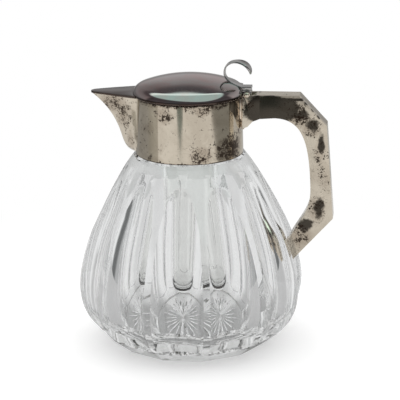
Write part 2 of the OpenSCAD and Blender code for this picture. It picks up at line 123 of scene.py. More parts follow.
def lookup(x: float, table: Sequence[Point2]) -> float:
    """Reads a table of straight stretches.

    Args:
        x: Where to read it.
        table: Pairs of place and value, by rising place.

    Returns:
        The value at x, held at both ends.
    """
    if x <= table[0][0]:
        return table[0][1]
    for (x0, y0), (x1, y1) in zip(table, table[1:]):
        if x <= x1:
            return y0 + (y1 - y0) * (x - x0) / (x1 - x0)
    return table[-1][1]


def smooth(x: float, low: float, high: float) -> float:
    """Returns a smooth step from 0 at low to 1 at high."""
    t = min(1.0, max(0.0, (x - low) / (high - low)))
    return t * t * (3.0 - 2.0 * t)


def spun(profile: Sequence[Point2], steps: int = 144) -> Mesh:
    """Turns a profile round the jug's axis.

    Args:
        profile: Points of radius and height, in order. Points on the axis close the shape.
        steps: Number of stretches round the axis.

    Returns:
        The turned mesh, with its faces outwards.
    """
    bm = bmesh.new()
    verts = [bm.verts.new((r, 0.0, z)) for r, z in profile]
    edges = [bm.edges.new(pair) for pair in zip(verts, verts[1:])]
    bmesh.ops.spin(bm, geom=verts + edges, cent=(0, 0, 0), axis=(0, 0, 1), dvec=(0, 0, 0),
                   angle=FULL_TURN, steps=steps, use_merge=True, use_duplicate=False)
    bmesh.ops.remove_doubles(bm, verts=bm.verts, dist=1e-4)
    bmesh.ops.recalc_face_normals(bm, faces=bm.faces)
    return bm


def ring_profile(outer: Sequence[Point2], inner: Sequence[Point2]) -> list[Point2]:
    """Returns a ring's closed outline from its outer and inner side, both from the bottom up."""
    return [*outer, *reversed(inner), outer[0]]


def sheet(across: int, along: int, place: Callable[[float, float], Vector]) -> Mesh:
    """Bends a grid into shape.

    Args:
        across: Number of stretches across the sheet.
        along: Number of stretches along the sheet.
        place: Gives a point's place from its shares across and along, from 0 to 1.

    Returns:
        The bent mesh.
    """
    bm = bmesh.new()
    bmesh.ops.create_grid(bm, x_segments=across, y_segments=along, size=1.0)
    for v in bm.verts:
        v.co = place((v.co.x + 1.0) / 2.0, (v.co.y + 1.0) / 2.0)
    bmesh.ops.remove_doubles(bm, verts=bm.verts, dist=1e-4)
    return bm


def face_outwards(bm: Mesh, away: Callable[[Vector], Vector]) -> None:
    """Turns an open sheet so that its faces look away from its inside.

    Args:
        bm: The mesh.
        away: Gives the outward direction at a place.
    """
    bmesh.ops.recalc_face_normals(bm, faces=bm.faces)
    sum_out = sum(f.normal.dot(away(f.calc_center_median())) * f.calc_area() for f in bm.faces)
    if sum_out < 0:
        bmesh.ops.reverse_faces(bm, faces=bm.faces)


def prism(outline: Sequence[Point3], run: Point3) -> Mesh:
    """Draws a flat outline out into a prism.

    Args:
        outline: The corners, in order.
        run: How far it is drawn out along x, y and z.

    Returns:
        The closed prism.
    """
    bm = bmesh.new()
    face = bm.faces.new([bm.verts.new(corner) for corner in outline])
    made = bmesh.ops.extrude_face_region(bm, geom=[face])
    moved = [g for g in made["geom"] if isinstance(g, bmesh.types.BMVert)]
    bmesh.ops.translate(bm, vec=run, verts=moved)
    bmesh.ops.recalc_face_normals(bm, faces=bm.faces)
    return bm


def slab(low: Sequence[float], high: Sequence[float]) -> Mesh:
    """Makes a box between two corners.

    Args:
        low: Its lowest corner.
        high: Its highest corner.

    Returns:
        The box.
    """
    bm = bmesh.new()
    bmesh.ops.create_cube(bm, size=1.0)
    size = [h - l for l, h in zip(low, high)]
    bmesh.ops.scale(bm, vec=size, verts=bm.verts)
    bmesh.ops.translate(bm, vec=[(l + h) / 2 for l, h in zip(low, high)], verts=bm.verts)
    return bm


def bevel(bm: Mesh, edges: Iterable[Edge], width: float,
          segments: int = 2) -> None:
    """Rounds edges.

    Args:
        bm: The mesh.
        edges: The edges to round.
        width: Width of the rounding.
        segments: Number of faces across it.
    """
    bmesh.ops.bevel(bm, geom=list(edges), offset=width, offset_type="OFFSET", affect="EDGES",
                    segments=segments, profile=0.5, material=-1, clamp_overlap=True)


def sharp_edges(bm: Mesh, degrees: float = 25.0) -> list[Edge]:
    """Returns the edges whose two faces meet at more than an angle."""
    limit = radians(degrees)
    return [e for e in bm.edges if len(e.link_faces) == 2 and e.calc_face_angle(0.0) > limit]


def split_big(bm: Mesh) -> None:
    """Splits the faces with more than four corners into triangles."""
    bmesh.ops.triangulate(bm, faces=[f for f in bm.faces if len(f.verts) > 4])


def bridge_open(bm: Mesh) -> None:
    """Closes the gap between two open edges that run side by side."""
    bmesh.ops.bridge_loops(bm, edges=[e for e in bm.edges if e.is_boundary])
    bmesh.ops.recalc_face_normals(bm, faces=bm.faces)


def lay_on_pin(bm: Mesh) -> None:
    """Turns an upright shape from the jug's axis onto the hinge's.

    Args:
        bm: The mesh.
    """
    bmesh.ops.rotate(bm, cent=(0, 0, 0), verts=bm.verts,
                     matrix=Matrix.Rotation(pi / 2, 3, "X"))
    bmesh.ops.translate(bm, vec=(HINGE_X, 0, HINGE_Z), verts=bm.verts)


def joined(parts: Sequence[Mesh]) -> Mesh:
    """Joins meshes into one.

    Args:
        parts: The meshes, which are freed.

    Returns:
        The mesh with all of them.
    """
    whole = bmesh.new()
    for part in parts:
        mesh = bpy.data.meshes.new("joined")
        part.to_mesh(mesh)
        whole.from_mesh(mesh)
        part.free()
        bpy.data.meshes.remove(mesh)
    return whole


def add_object(bm: Mesh, name: str, material: Material) -> bpy.types.Object:
    """Makes an object of a mesh in millimetres.

    Args:
        bm: The mesh, which is freed.
        name: The object's name.
        material: Its finish.

    Returns:
        The new object.
    """
    bmesh.ops.scale(bm, vec=(MM,) * 3, verts=bm.verts)
    mesh = bpy.data.meshes.new(name)
    bm.to_mesh(mesh)
    bm.free()
    mesh.materials.append(material)
    obj = bpy.data.objects.new(name, mesh)
    bpy.context.scene.collection.objects.link(obj)
    return obj


def piece(bm: Mesh, name: str, kind: Kind, material: Material,
          replaced: str = "", sharp: float = 30.0) -> bpy.types.Object:
    """Makes a finished piece of a mesh in millimetres.

    Args:
        bm: The mesh, which is freed.
        name: The piece's name.
        kind: Its body, which it is attached to; its material slot is not given to it.
        material: Its finish.
        replaced: The CAD node that it stands for.
        sharp: Angle in degrees above which an edge stays sharp.

    Returns:
        The new object.
    """
    obj = add_object(bm, name, material)
    for polygon in obj.data.polygons:
        polygon.use_smooth = True
    obj.data.set_sharp_from_angle(angle=radians(sharp))
    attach(obj, kind.body)
    kind.slot
    if replaced:
        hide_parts(replaced)
    log.info("%s: %d faces on %s", name, len(obj.data.polygons), kind.body)
    return obj


def cad_copy(node: str, width: float) -> Mesh:
    """Copies a CAD node's mesh, merged and with its sharp edges rounded.

    Args:
        node: The CAD node.
        width: Width of the rounding, in millimetres.

    Returns:
        The copy, in millimetres.
    """
    bm = bmesh.new()
    bm.from_mesh(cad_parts[node].data)
    bmesh.ops.scale(bm, vec=(1 / MM,) * 3, verts=bm.verts)
    bmesh.ops.remove_doubles(bm, verts=bm.verts, dist=1e-3)
    bmesh.ops.dissolve_limit(bm, angle_limit=radians(0.6), verts=bm.verts, edges=bm.edges)
    bevel(bm, sharp_edges(bm), width)
    split_big(bm)
    return bm


class NodeSketch:
    """Adds nodes to a tree and links them."""

    def __init__(self, tree: Tree) -> None:
        """Starts on a tree."""
        self.tree = tree

    def plug(self, socket: Socket, value: object) -> None:
        """Links an input to a socket, or gives it a value.

        Args:
            socket: The input.
            value: A socket to link from, or the value.
        """
        if isinstance(value, Socket):
            self.tree.links.new(value, socket)
        else:
            socket.default_value = value

    def add(self, kind: str, values: dict | None = None, **settings: object) -> bpy.types.Node:
        """Adds a node.

        Args:
            kind: The node's type.
            values: Socket names or numbers, with a value or a socket to link from.
            **settings: The node's own settings.

        Returns:
            The node.
        """
        node = self.tree.nodes.new(kind)
        for key, value in settings.items():
            setattr(node, key, value)
        for key, value in (values or {}).items():
            self.plug(node.inputs[key], value)
        return node

    def math(self, kind: str, *values: object) -> Socket:
        """Adds a Math node and returns its output."""
        return self.add("ShaderNodeMath", dict(enumerate(values)), operation=kind).outputs[0]

    def plus(self, a: object, b: object) -> Socket:
        """Adds two values."""
        return self.math("ADD", a, b)

    def minus(self, a: object, b: object) -> Socket:
        """Takes the second value from the first."""
        return self.math("SUBTRACT", a, b)

    def times(self, a: object, b: object) -> Socket:
        """Multiplies two values."""
        return self.math("MULTIPLY", a, b)

    def size(self, value: object) -> Socket:
        """Drops a value's sign."""
        return self.math("ABSOLUTE", value)

    def dot(self, vector: object, way: Point3) -> Socket:
        """Returns how far a vector goes along a direction."""
        return self.vector("DOT_PRODUCT", vector, way).outputs["Value"]

    def step(self, value: object, low: object, high: object, start: float = 0.0,
             end: float = 1.0) -> Socket:
        """Maps a value by a smooth step.

        Args:
            value: What is mapped.
            low: Where the step starts.
            high: Where it ends.
            start: The result up to low.
            end: The result from high on.

        Returns:
            The mapped value.
        """
        return self.add("ShaderNodeMapRange",
                        {"Value": value, "From Min": low, "From Max": high, "To Min": start,
                         "To Max": end}, interpolation_type="SMOOTHSTEP").outputs[0]

    def mix(self, factor: object, a: object, b: object) -> Socket:
        """Mixes two colours.

        Args:
            factor: Share of the second colour.
            a: The first colour.
            b: The second colour.

        Returns:
            The mixed colour.
        """
        full = [c if isinstance(c, Socket) else (*c[:3], 1.0) for c in (a, b)]
        return self.add("ShaderNodeMix", {0: factor, 6: full[0], 7: full[1]}, data_type="RGBA",
                        blend_type="MIX").outputs[2]

    def group(self, tree: Tree, **values: object) -> Socket:
        """Places a node group.

        Args:
            tree: The group.
            **values: Its inputs by name, as values or sockets.

        Returns:
            Its first output.
        """
        node = self.add("ShaderNodeGroup")
        node.node_tree = tree
        for key, value in values.items():
            self.plug(node.inputs[key], value)
        return node.outputs[0]

    def noise(self, vector: Socket, scale: object, detail: float = 3.0, rough: float = 0.6,
              distort: float = 0.0) -> Socket:
        """Adds a Noise Texture.

        Args:
            vector: Where it is read.
            scale: How fine it is.
            detail: Number of finer layers.
            rough: Weight of the finer layers.
            distort: How much it is stirred.

        Returns:
            Its value.
        """
        return self.add("ShaderNodeTexNoise",
                        {"Vector": vector, "Scale": scale, "Detail": detail, "Roughness": rough,
                         "Distortion": distort}).outputs["Fac"]

    def vector(self, kind: str, *values: object) -> bpy.types.Node:
        """Adds a Vector Math node."""
        return self.add("ShaderNodeVectorMath", dict(enumerate(values)), operation=kind)

    def blob(self, coord: object, centre: Sequence[float], radii: Sequence[float],
             core: float = 0.35) -> Socket:
        """Gives a soft spot.

        Args:
            coord: Object coordinates.
            centre: The spot's middle, in millimetres.
            radii: Its reach along x, y and z, in millimetres.
            core: Share of the reach that is full.

        Returns:
            A value of 1 in the spot, which falls to 0 at its reach.
        """
        off = self.vector("SUBTRACT", coord, [c * MM for c in centre]).outputs[0]
        scaled = self.vector("MULTIPLY", off, [1.0 / (r * MM) for r in radii]).outputs[0]
        return self.step(self.vector("LENGTH", scaled).outputs["Value"], 1.0, core)

    def most(self, values: Sequence[Socket]) -> Socket:
        """Returns the greatest of some values."""
        return reduce(partial(self.math, "MAXIMUM"), values)


class Surface(NodeSketch):
    """A new material with its Principled shader, mapped by Object coordinates."""

    def __init__(self, name: str) -> None:
        """Starts the material.

        Args:
            name: The material's name.
        """
        self.material = bpy.data.materials.new(name)
        self.material.use_nodes = True
        super().__init__(self.material.node_tree)
        self.shader = self.tree.nodes["Principled BSDF"]
        self.coord = self.add("ShaderNodeTexCoord").outputs["Object"]

    def set(self, name: str, value: object) -> None:
        """Links an input of the shader, or gives it a value."""
        self.plug(self.shader.inputs[name], value)

    def bump(self, height: object, strength: float, distance: float) -> None:
        """Lets a height stand out on the surface.

        Args:
            height: The height, from 0 to 1.
            strength: Share of the effect.
            distance: What a height of 1 stands for, in metres.
        """
        node = self.add("ShaderNodeBump", {"Strength": strength, "Distance": distance,
                                           "Height": height})
        self.set("Normal", node.outputs[0])


def new_group(name: str, inputs: dict[str, float]) -> tuple[Tree, NodeSketch, dict]:
    """Starts a shader node group with a vector, some numbers, and one output called Mask.

    Args:
        name: The group's name.
        inputs: Names and default values of its numbers.

    Returns:
        The group's tree, a sketch on it, and its input sockets by name.
    """
    tree = bpy.data.node_groups.new(name, "ShaderNodeTree")
    tree.interface.new_socket("Vector", in_out="INPUT", socket_type="NodeSocketVector")
    for key, value in inputs.items():
        socket = tree.interface.new_socket(key, in_out="INPUT", socket_type="NodeSocketFloat")
        socket.default_value = value
    tree.interface.new_socket("Mask", in_out="OUTPUT", socket_type="NodeSocketFloat")
    sketch = NodeSketch(tree)
    start = sketch.add("NodeGroupInput")
    return tree, sketch, {s.name: s for s in start.outputs if s.name}


def close_group(sketch: NodeSketch, mask: Socket) -> None:
    """Links a group's result to its output."""
    sketch.add("NodeGroupOutput", {"Mask": mask})


def speck_group() -> Tree:
    """Makes the group of the pitted specks of tarnish, which are denser where Cover is high.

    Returns:
        The group.
    """
    coarse_share, coarse_scale = 0.45, 0.22
    threshold, cover_effect, soft_edge = 0.618, 0.1, 0.022
    tree, s, given = new_group("tarnish_specks", {"Cover": 0.3, "Grain": 700.0})
    coarse = s.noise(given["Vector"], s.times(given["Grain"], coarse_scale), 3.0, 0.7, 0.4)
    fine = s.noise(given["Vector"], given["Grain"], 4.0, 0.75, 0.6)
    both = s.plus(s.times(coarse, coarse_share), s.times(fine, 1.0 - coarse_share))
    edge = s.minus(threshold, s.times(given["Cover"], cover_effect))
    mask = s.step(both, edge, s.plus(edge, soft_edge))
    close_group(s, s.times(mask, s.step(given["Cover"], 0.0, 0.1)))
    return tree


def cloud_group() -> Tree:
    """Makes the group of the slow change of tone over plated metal.

    Returns:
        The group.
    """
    tree, s, given = new_group("patina_clouds", {"Size": 30.0})
    wide = s.noise(given["Vector"], given["Size"], 4.0, 0.62, 0.8)
    close_group(s, s.step(wide, 0.34, 0.68))
    return tree


def wear_group() -> Tree:
    """Makes the group of the fine polishing marks.

    Returns:
        The group.
    """
    tree, s, given = new_group("polish_marks", {"Fineness": 500.0})
    drawn = s.add("ShaderNodeMapping", {"Vector": given["Vector"], "Scale": (1.0, 1.0, 7.0)})
    first = s.noise(drawn.outputs[0], given["Fineness"], 5.0, 0.7)
    wide = s.noise(given["Vector"], s.times(given["Fineness"], 0.2), 2.0, 0.5)
    close_group(s, s.plus(s.times(first, 0.6), s.times(wide, 0.4)))
    return tree


@dataclass(frozen=True)
class Spot:
    """A place of tarnish, or of painted shade or reflection: its middle and its reach in
    millimetres, and how dense it is.
    """

    centre: Point3
    radii: Point3
    cover: float = 1.0


@dataclass(frozen=True)
class Plate:
    """Silver plate with tarnish: a clean colour, a stained one, where the specks are, and where
    dark stains with painted dark reflections and a painted shadow go.
    """

    name: str
    clean: Colour = (0.8, 0.72, 0.6)
    stained: Colour = (0.52, 0.45, 0.36)
    black: Colour = (0.04, 0.024, 0.016)
    brown: Colour = (0.26, 0.18, 0.12)
    roughness: float = 0.07
    cover: float = 0.12
    grain: float = 700.0
    stain: float = 0.5
    spots: tuple[Spot, ...] = ()
    stains_and_painted_reflections: tuple[Spot, ...] = ()
    painted_shadow_below: float = 0.0
    stain_and_painted_reflection_colour: Colour = (0.03, 0.025, 0.019)
    cloud_size: float = 38.0
    mark_size: float = 420.0
    halo: float = 0.35
    stain_and_painted_reflection: float = 0.93
    black_share: float = 0.92
    halo_range: Point2 = (0.35, 1.25)
    stain_and_painted_reflection_range: Point2 = (0.3, 0.75)
    speck_roughness: float = 0.35
    least_roughness: float = 0.04
    relief: float = 0.0001
    relief_share: float = 0.12

    def spread(self, s: Surface, spots: Sequence[Spot], core: float) -> Socket:
        """Returns how dense some spots are, each full in the core share of its reach."""
        return s.most([s.times(s.blob(s.coord, p.centre, p.radii, core), p.cover)
                       for p in spots])

    def build(self, groups: dict[str, Tree]) -> Material:
        """Makes the material.

        Args:
            groups: The shared node groups by name.

        Returns:
            The material.
        """
        s = Surface(self.name)
        clouds = s.group(groups["clouds"], Vector=s.coord, Size=self.cloud_size)
        marks = s.group(groups["marks"], Vector=s.coord, Fineness=self.mark_size)
        colour = s.mix(s.times(clouds, self.stain), self.clean, self.stained)
        cover: object = self.cover
        if self.spots:
            cover = s.math("MAXIMUM", self.spread(s, self.spots, 0.2), self.cover)
            drift = s.math("MULTIPLY_ADD", s.noise(s.coord, 90.0, 3.0, 0.6), 1.4, -0.7)
            halo = s.step(s.plus(cover, drift), *self.halo_range)
            colour = s.mix(s.times(halo, self.halo), colour, self.brown)
        # Dark stains and a painted dark reflection, with ragged edges, at the listed places.
        if self.stains_and_painted_reflections:
            ragged = s.math("MULTIPLY_ADD", s.noise(s.coord, 130.0, 5.0, 0.7), 1.8, -0.9)
            stain_and_painted_reflection = s.step(s.plus(self.spread(s, self.stains_and_painted_reflections, 0.15), ragged), *self.stain_and_painted_reflection_range)
            colour = s.mix(s.times(stain_and_painted_reflection, self.stain_and_painted_reflection), colour, self.stain_and_painted_reflection_colour)
        # Painted shadow: below the given height the colour turns nearly black, as shade under the
        # rim.
        if self.painted_shadow_below:
            level = s.add("ShaderNodeSeparateXYZ", {0: s.coord}).outputs[2]
            low = s.step(level, (self.painted_shadow_below + 0.25) * MM, (self.painted_shadow_below - 0.15) * MM)
            colour = s.mix(s.times(low, 0.9), colour, self.black)
        specks = s.group(groups["specks"], Vector=s.coord, Cover=cover, Grain=self.grain)
        s.set("Base Color", s.mix(s.times(specks, self.black_share), colour, self.black))
        rough = s.math("MULTIPLY_ADD", marks, 0.06, self.roughness - 0.03)
        rough = s.plus(rough, s.times(specks, self.speck_roughness))
        s.set("Roughness", s.math("MAXIMUM", rough, self.least_roughness))
        s.bump(s.minus(s.times(marks, 0.12), specks), self.relief_share, self.relief)
        s.set("Metallic", 1.0)
        return s.material


@dataclass(frozen=True)
class Glass:
    """Clear glass: its tint and its index of refraction."""

    name: str
    tint: Colour = (0.988, 0.992, 0.992)
    index: float = 1.53
    faintest: float = 0.985

    def build(self) -> Material:
        """Makes the material.

        Returns:
            The material.
        """
        s = Surface(self.name)
        seeds = s.noise(s.coord, 60.0, 2.0)
        faint = tuple(c * self.faintest for c in self.tint)
        s.set("Base Color", s.mix(s.step(seeds, 0.3, 0.7), self.tint, faint))
        s.set("Metallic", 0.0)
        s.set("Transmission Weight", 1.0)
        s.set("Roughness", 0.0)
        s.set("IOR", self.index)
        return s.material


def cement_material() -> Material:
    """Makes the mottled plaster that holds the glass in the collar.

    Returns:
        The material.
    """
    s = Surface("plaster_cement")
    grain = s.noise(s.coord, 900.0, 5.0, 0.7)
    s.set("Base Color", s.mix(grain, (0.62, 0.58, 0.5), (0.84, 0.81, 0.74)))
    s.bump(grain, 0.5, 0.0002)
    s.set("Roughness", 0.9)
    return s.material


def collar_out(z: float) -> float:
    """Returns the collar's outer radius at a height."""
    return COLLAR_R - COLLAR_TAPER * (z - COLLAR_Z) / (COLLAR_TOP - COLLAR_Z)


def on_collar(view_angle: float, z: float) -> Vector:
    """Returns the place on the collar at an angle in degrees from the front and a height."""
    return polar(COLLAR_R, radians(view_angle - 82.0), z)


@dataclass
class GlassBody:
    """The blown body with concave flutes, a faceted foot and a star cut in its base."""

    foot_r: float = 67.0
    belly_r: float = 99.1
    belly_z: float = 52.0
    shoulder_r: float = 48.4
    flutes: int = 12
    wheel_r: float = 45.0
    ridge_w: float = 6.0
    flute_top: float = 156.0
    facet_top: float = 11.5
    base_t: float = 22.0
    flute_wall: float = 6.0
    neck_r: float = 44.0
    neck_in: float = 38.0
    neck_top: float = 184.6
    samples: int = 30
    strip_samples: int = 3
    star_r: float = 52.0
    star_rays: int = 24
    star_depth: float = 2.2
    star_rows: tuple[float, ...] = (
        0.0, 0.6, 1.5, 3, 5, 7.5, 10.5, 14, 18, 22, 26, 30, 34, 38, 42, 46, 47.9, 48.2, 52, 56,
        58.5, 60, 61.6, 62.4, 63.2, 64)
    groove_w: Point2 = (0.5, 3.1)
    recess: float = 0.9
    recess_r: Point2 = (62.0, 63.8)
    facet_bow: float = 0.15
    fade_run: float = 34.0
    fade_power: float = 0.7
    waist_height: float = 0.69
    waist_share: float = 0.85
    edge_limits: Point2 = (0.55, 0.93)
    short_ray: float = 0.8

    @property
    def half(self) -> float:
        """Half of the angle of one flute."""
        return pi / self.flutes

    def ridge_line(self) -> list[Point2]:
        """Draws the outline of the ridges.

        Returns:
            Points of radius and height, from the foot to the shoulder.
        """
        waist_z = self.waist_height * self.flute_top
        waist_r = self.waist_share * self.belly_r
        belly = (self.belly_r, self.belly_z)
        waist = (waist_r, waist_z)
        return [
            *bezier((self.foot_r, 0.0), (self.foot_r + 11, 10), (self.belly_r, self.belly_z - 32),
                    belly, 22),
            *bezier(belly, (self.belly_r, self.belly_z + 15), (waist_r + 7.6, waist_z - 15), waist,
                    12, 1),
            *bezier(waist, (waist_r - 11.4, waist_z + 24),
                    (self.shoulder_r + 10, SHOULDER_Z - 13), (self.shoulder_r, SHOULDER_Z - 0.6),
                    22, 1)]

    def deep_cut(self, r: float) -> float:
        """Gives the radius of a flute's bottom at full depth.

        Args:
            r: Radius of the ridges.

        Returns:
            The radius at the bottom of the cut.
        """
        a = self.half - asin(self.ridge_w / 2 / r)
        side = r * sin(a)
        return r * cos(a) + sqrt(self.wheel_r ** 2 - side * side) - self.wheel_r

    def fade(self, z: float) -> float:
        """Returns how much of its full depth a flute has at a height."""
        run = min(1.0, max(0.0, (self.flute_top - z) / self.fade_run) ** self.fade_power)
        return run * smooth(z, self.flute_top + 1.0, self.flute_top - 9.0)

    def flute_bottom(self, r: float, z: float) -> float:
        """Gives the radius of a flute's bottom at a height.

        Args:
            r: Radius of the ridges there.
            z: The height.

        Returns:
            The radius at the bottom of the cut.
        """
        deep = self.deep_cut(r)
        if z < self.facet_top + 2.0:
            flat = r * cos(self.half) + self.facet_bow
            return flat + (deep - flat) * smooth(z, self.facet_top - 0.5, self.facet_top + 1.5)
        return r + (deep - r) * self.fade(z)

    def outer(self, share: float, r: float, z: float) -> Vector:
        """Places a point of the outside.

        Args:
            share: Share of the way round, from 0 to 1.
            r: Radius of the ridges at that height.
            z: The height.

        Returns:
            The point.
        """
        bottom = self.flute_bottom(r, z)
        d = bottom + self.wheel_r
        cosine = (d * d + r * r - self.wheel_r ** 2) / (2 * d * r)
        least, most = (share_of * self.half for share_of in self.edge_limits)
        edge = min(max(acos(min(1.0, cosine)), least), most)
        sector, inner = divmod(share * self.flutes, 1.0)
        index = inner * self.samples
        n = self.strip_samples
        middle = self.samples - 2 * n
        if index < n:
            a = -self.half + (self.half - edge) * index / n
        elif index > self.samples - n:
            a = self.half - (self.half - edge) * (self.samples - index) / n
        else:
            a = edge * (2.0 * (index - n) / middle - 1.0)
        root = max(0.0, self.wheel_r ** 2 - (d * sin(a)) ** 2)
        wheel = d * cos(a) - sqrt(root)
        if z < self.facet_top:
            flat = r * cos(self.half) / cos(a)
            flat += self.facet_bow * (1.0 - (a / self.half) ** 2)
            radius = min(flat, max(wheel, flat - 4.0 * smooth(z, self.facet_top - 0.5,
                                                               self.facet_top)))
        else:
            radius = min(r, wheel)
        return polar(radius, sector * 2 * self.half + a, z)

    def star(self, share: float, r: float) -> Vector:
        """Places a point of the underside, with the star's grooves.

        Args:
            share: Share of the way round.
            r: Distance from the axis.

        Returns:
            The point.
        """
        turn = share * FULL_TURN - self.half
        ray = FULL_TURN / self.star_rays
        off = abs((turn + ray / 2) % ray - ray / 2)
        long_ray = round(turn / ray) % 2 == 0
        reach = self.star_r if long_ray else self.short_ray * self.star_r
        along = min(1.0, r / reach)
        width = self.groove_w[0] + self.groove_w[1] * sin(pi * along) ** 0.7
        groove = max(0.0, 1.0 - r * sin(off) / width) if r < reach else 0.0
        recess = self.recess * (1.0 - smooth(r, *self.recess_r))
        z = recess + self.star_depth * groove * min(1.0, width / 2.0)
        return polar(r, turn, z)

    def round_ring(self, share: float, r: float, z: float) -> Vector:
        """Places a point of a round ring."""
        return polar(r, share * FULL_TURN - self.half, z)

    def inner_side(self) -> list[Point2]:
        """Draws the outline of the inside.

        Returns:
            Points of radius and height, from the floor's middle to the neck's top.
        """
        wall = []
        for r, z in self.ridge_line():
            if self.base_t + 9 < z < SHOULDER_Z - 9:
                cut = min(r * cos(self.half), self.flute_bottom(r, z))
                wall.append((max(self.neck_in, cut - self.flute_wall), z))
        floor = bezier((self.foot_r - 12, self.base_t), (self.foot_r, self.base_t + 0.2),
                       (wall[0][0] - 4, wall[0][1] - 7), wall[0], 12)
        middle = [(r, self.base_t + 0.8 * (1 - r / 51)) for r in (0.0, 8.0, 20.0, 35.0)]
        return [*middle, *floor, *wall[1:], (self.neck_in, SHOULDER_Z - 2),
                (self.neck_in, self.neck_top - 2), (self.neck_in + 1.2, self.neck_top)]

    def build(self, material: Material) -> bpy.types.Object:
        """Builds the body in one closed mesh.

        Args:
            material: Its glass.

        Returns:
            The piece.
        """
        neck = [(self.neck_r + 0.9, SHOULDER_Z), (self.neck_r, SHOULDER_Z + 0.8),
                (self.neck_r, self.neck_top - 1.5), (self.neck_r - 1.5, self.neck_top)]
        rows = [partial(self.star, r=r) for r in self.star_rows]
        rows += [partial(self.outer, r=r, z=z) for r, z in self.ridge_line()]
        rows += [partial(self.round_ring, r=r, z=z)
                 for r, z in (*neck, *reversed(self.inner_side()))]
        last = len(rows) - 1
        bm = sheet(self.flutes * self.samples, last, lambda u, v: rows[round(v * last)](u))
        bmesh.ops.recalc_face_normals(bm, faces=bm.faces)
        return piece(bm, "cut_glass_body", Kind.GLASS, material, "glass_body", sharp=17.0)


@dataclass
class IceInsert:
    """The glass ice tube and the metal ring that it hangs in."""

    tube_r: float = 24.0
    wall: float = 3.0
    bottom_z: float = 43.0
    bottom_t: float = 6.0
    bottom_round: float = 9.0
    top_z: float = 220.6
    rim: float = 3.5
    rim_t: float = 2.4
    seat_z: float = 216.7
    seat_t: float = 1.5
    flange_r: float = 42.6
    sleeve_h: float = 6.0
    bottom_bow: float = 1.6
    bowl_bow: float = 1.2
    play: float = 0.4

    def rounded(self, radius: float, corner: float, foot: float, bow: float) -> list[Point2]:
        """Returns the outline of a round-cornered bottom.

        Args:
            radius: Radius of the wall.
            corner: Radius of the corner.
            foot: Height of the middle.
            bow: How much lower the middle is than the start of the corner.

        Returns:
            Points from the axis up to the wall.
        """
        flat = radius - corner
        floor = [(flat * k / 5, foot + bow * (k / 5) ** 2) for k in range(6)]
        lean = atan(2 * bow / flat)
        turn = [(flat + corner * (sin(a) - sin(lean)) / (1 - sin(lean)),
                 foot + bow + corner * (cos(lean) - cos(a)))
                for a in (lean + (pi / 2 - lean) * k / 14 for k in range(1, 15))]
        return [*floor, *turn]

    def build(self, glass: Material, metal: Material) -> None:
        """Builds the tube and its ring.

        Args:
            glass: Glass of the tube.
            metal: Finish of the ring.
        """
        r, inner = self.tube_r, self.tube_r - self.wall
        base = self.rounded(r, self.bottom_round, self.bottom_z, self.bottom_bow)
        rim_z = self.top_z - self.rim_t
        lip = [(r, rim_z - 0.4), (r + 0.6, rim_z), (r + self.rim - 0.6, rim_z),
               (r + self.rim, rim_z + 0.7), (r + self.rim, self.top_z - 0.8),
               (r + self.rim - 0.9, self.top_z), (inner + 1.0, self.top_z),
               (inner, self.top_z - 1.0)]
        bowl = self.rounded(inner, self.bottom_round - 2.0, self.bottom_z + self.bottom_t,
                            self.bowl_bow)
        piece(spun([*base, *lip, *reversed(bowl)], 96), "ice_tube_glass", Kind.TUBE, glass,
              "ice_tube", sharp=40.0)
        hole = r + self.play
        ring = [(hole + 0.2, self.seat_z - self.sleeve_h), (hole + 1, self.seat_z - self.sleeve_h),
                (hole + 1, self.seat_z - 0.6), (hole + 1.6, self.seat_z),
                (self.flange_r - 0.4, self.seat_z), (self.flange_r, self.seat_z + 0.4),
                (self.flange_r, self.seat_z + self.seat_t - 0.4),
                (self.flange_r - 0.4, self.seat_z + self.seat_t),
                (hole + 0.4, self.seat_z + self.seat_t), (hole, self.seat_z + self.seat_t - 0.4)]
        bm = spun([*ring, (hole, self.seat_z - self.sleeve_h + 0.2), ring[0]], 128)
        piece(bm, "ice_tube_seat_ring", Kind.TUBE_RING, metal, "ice_tube_ring")


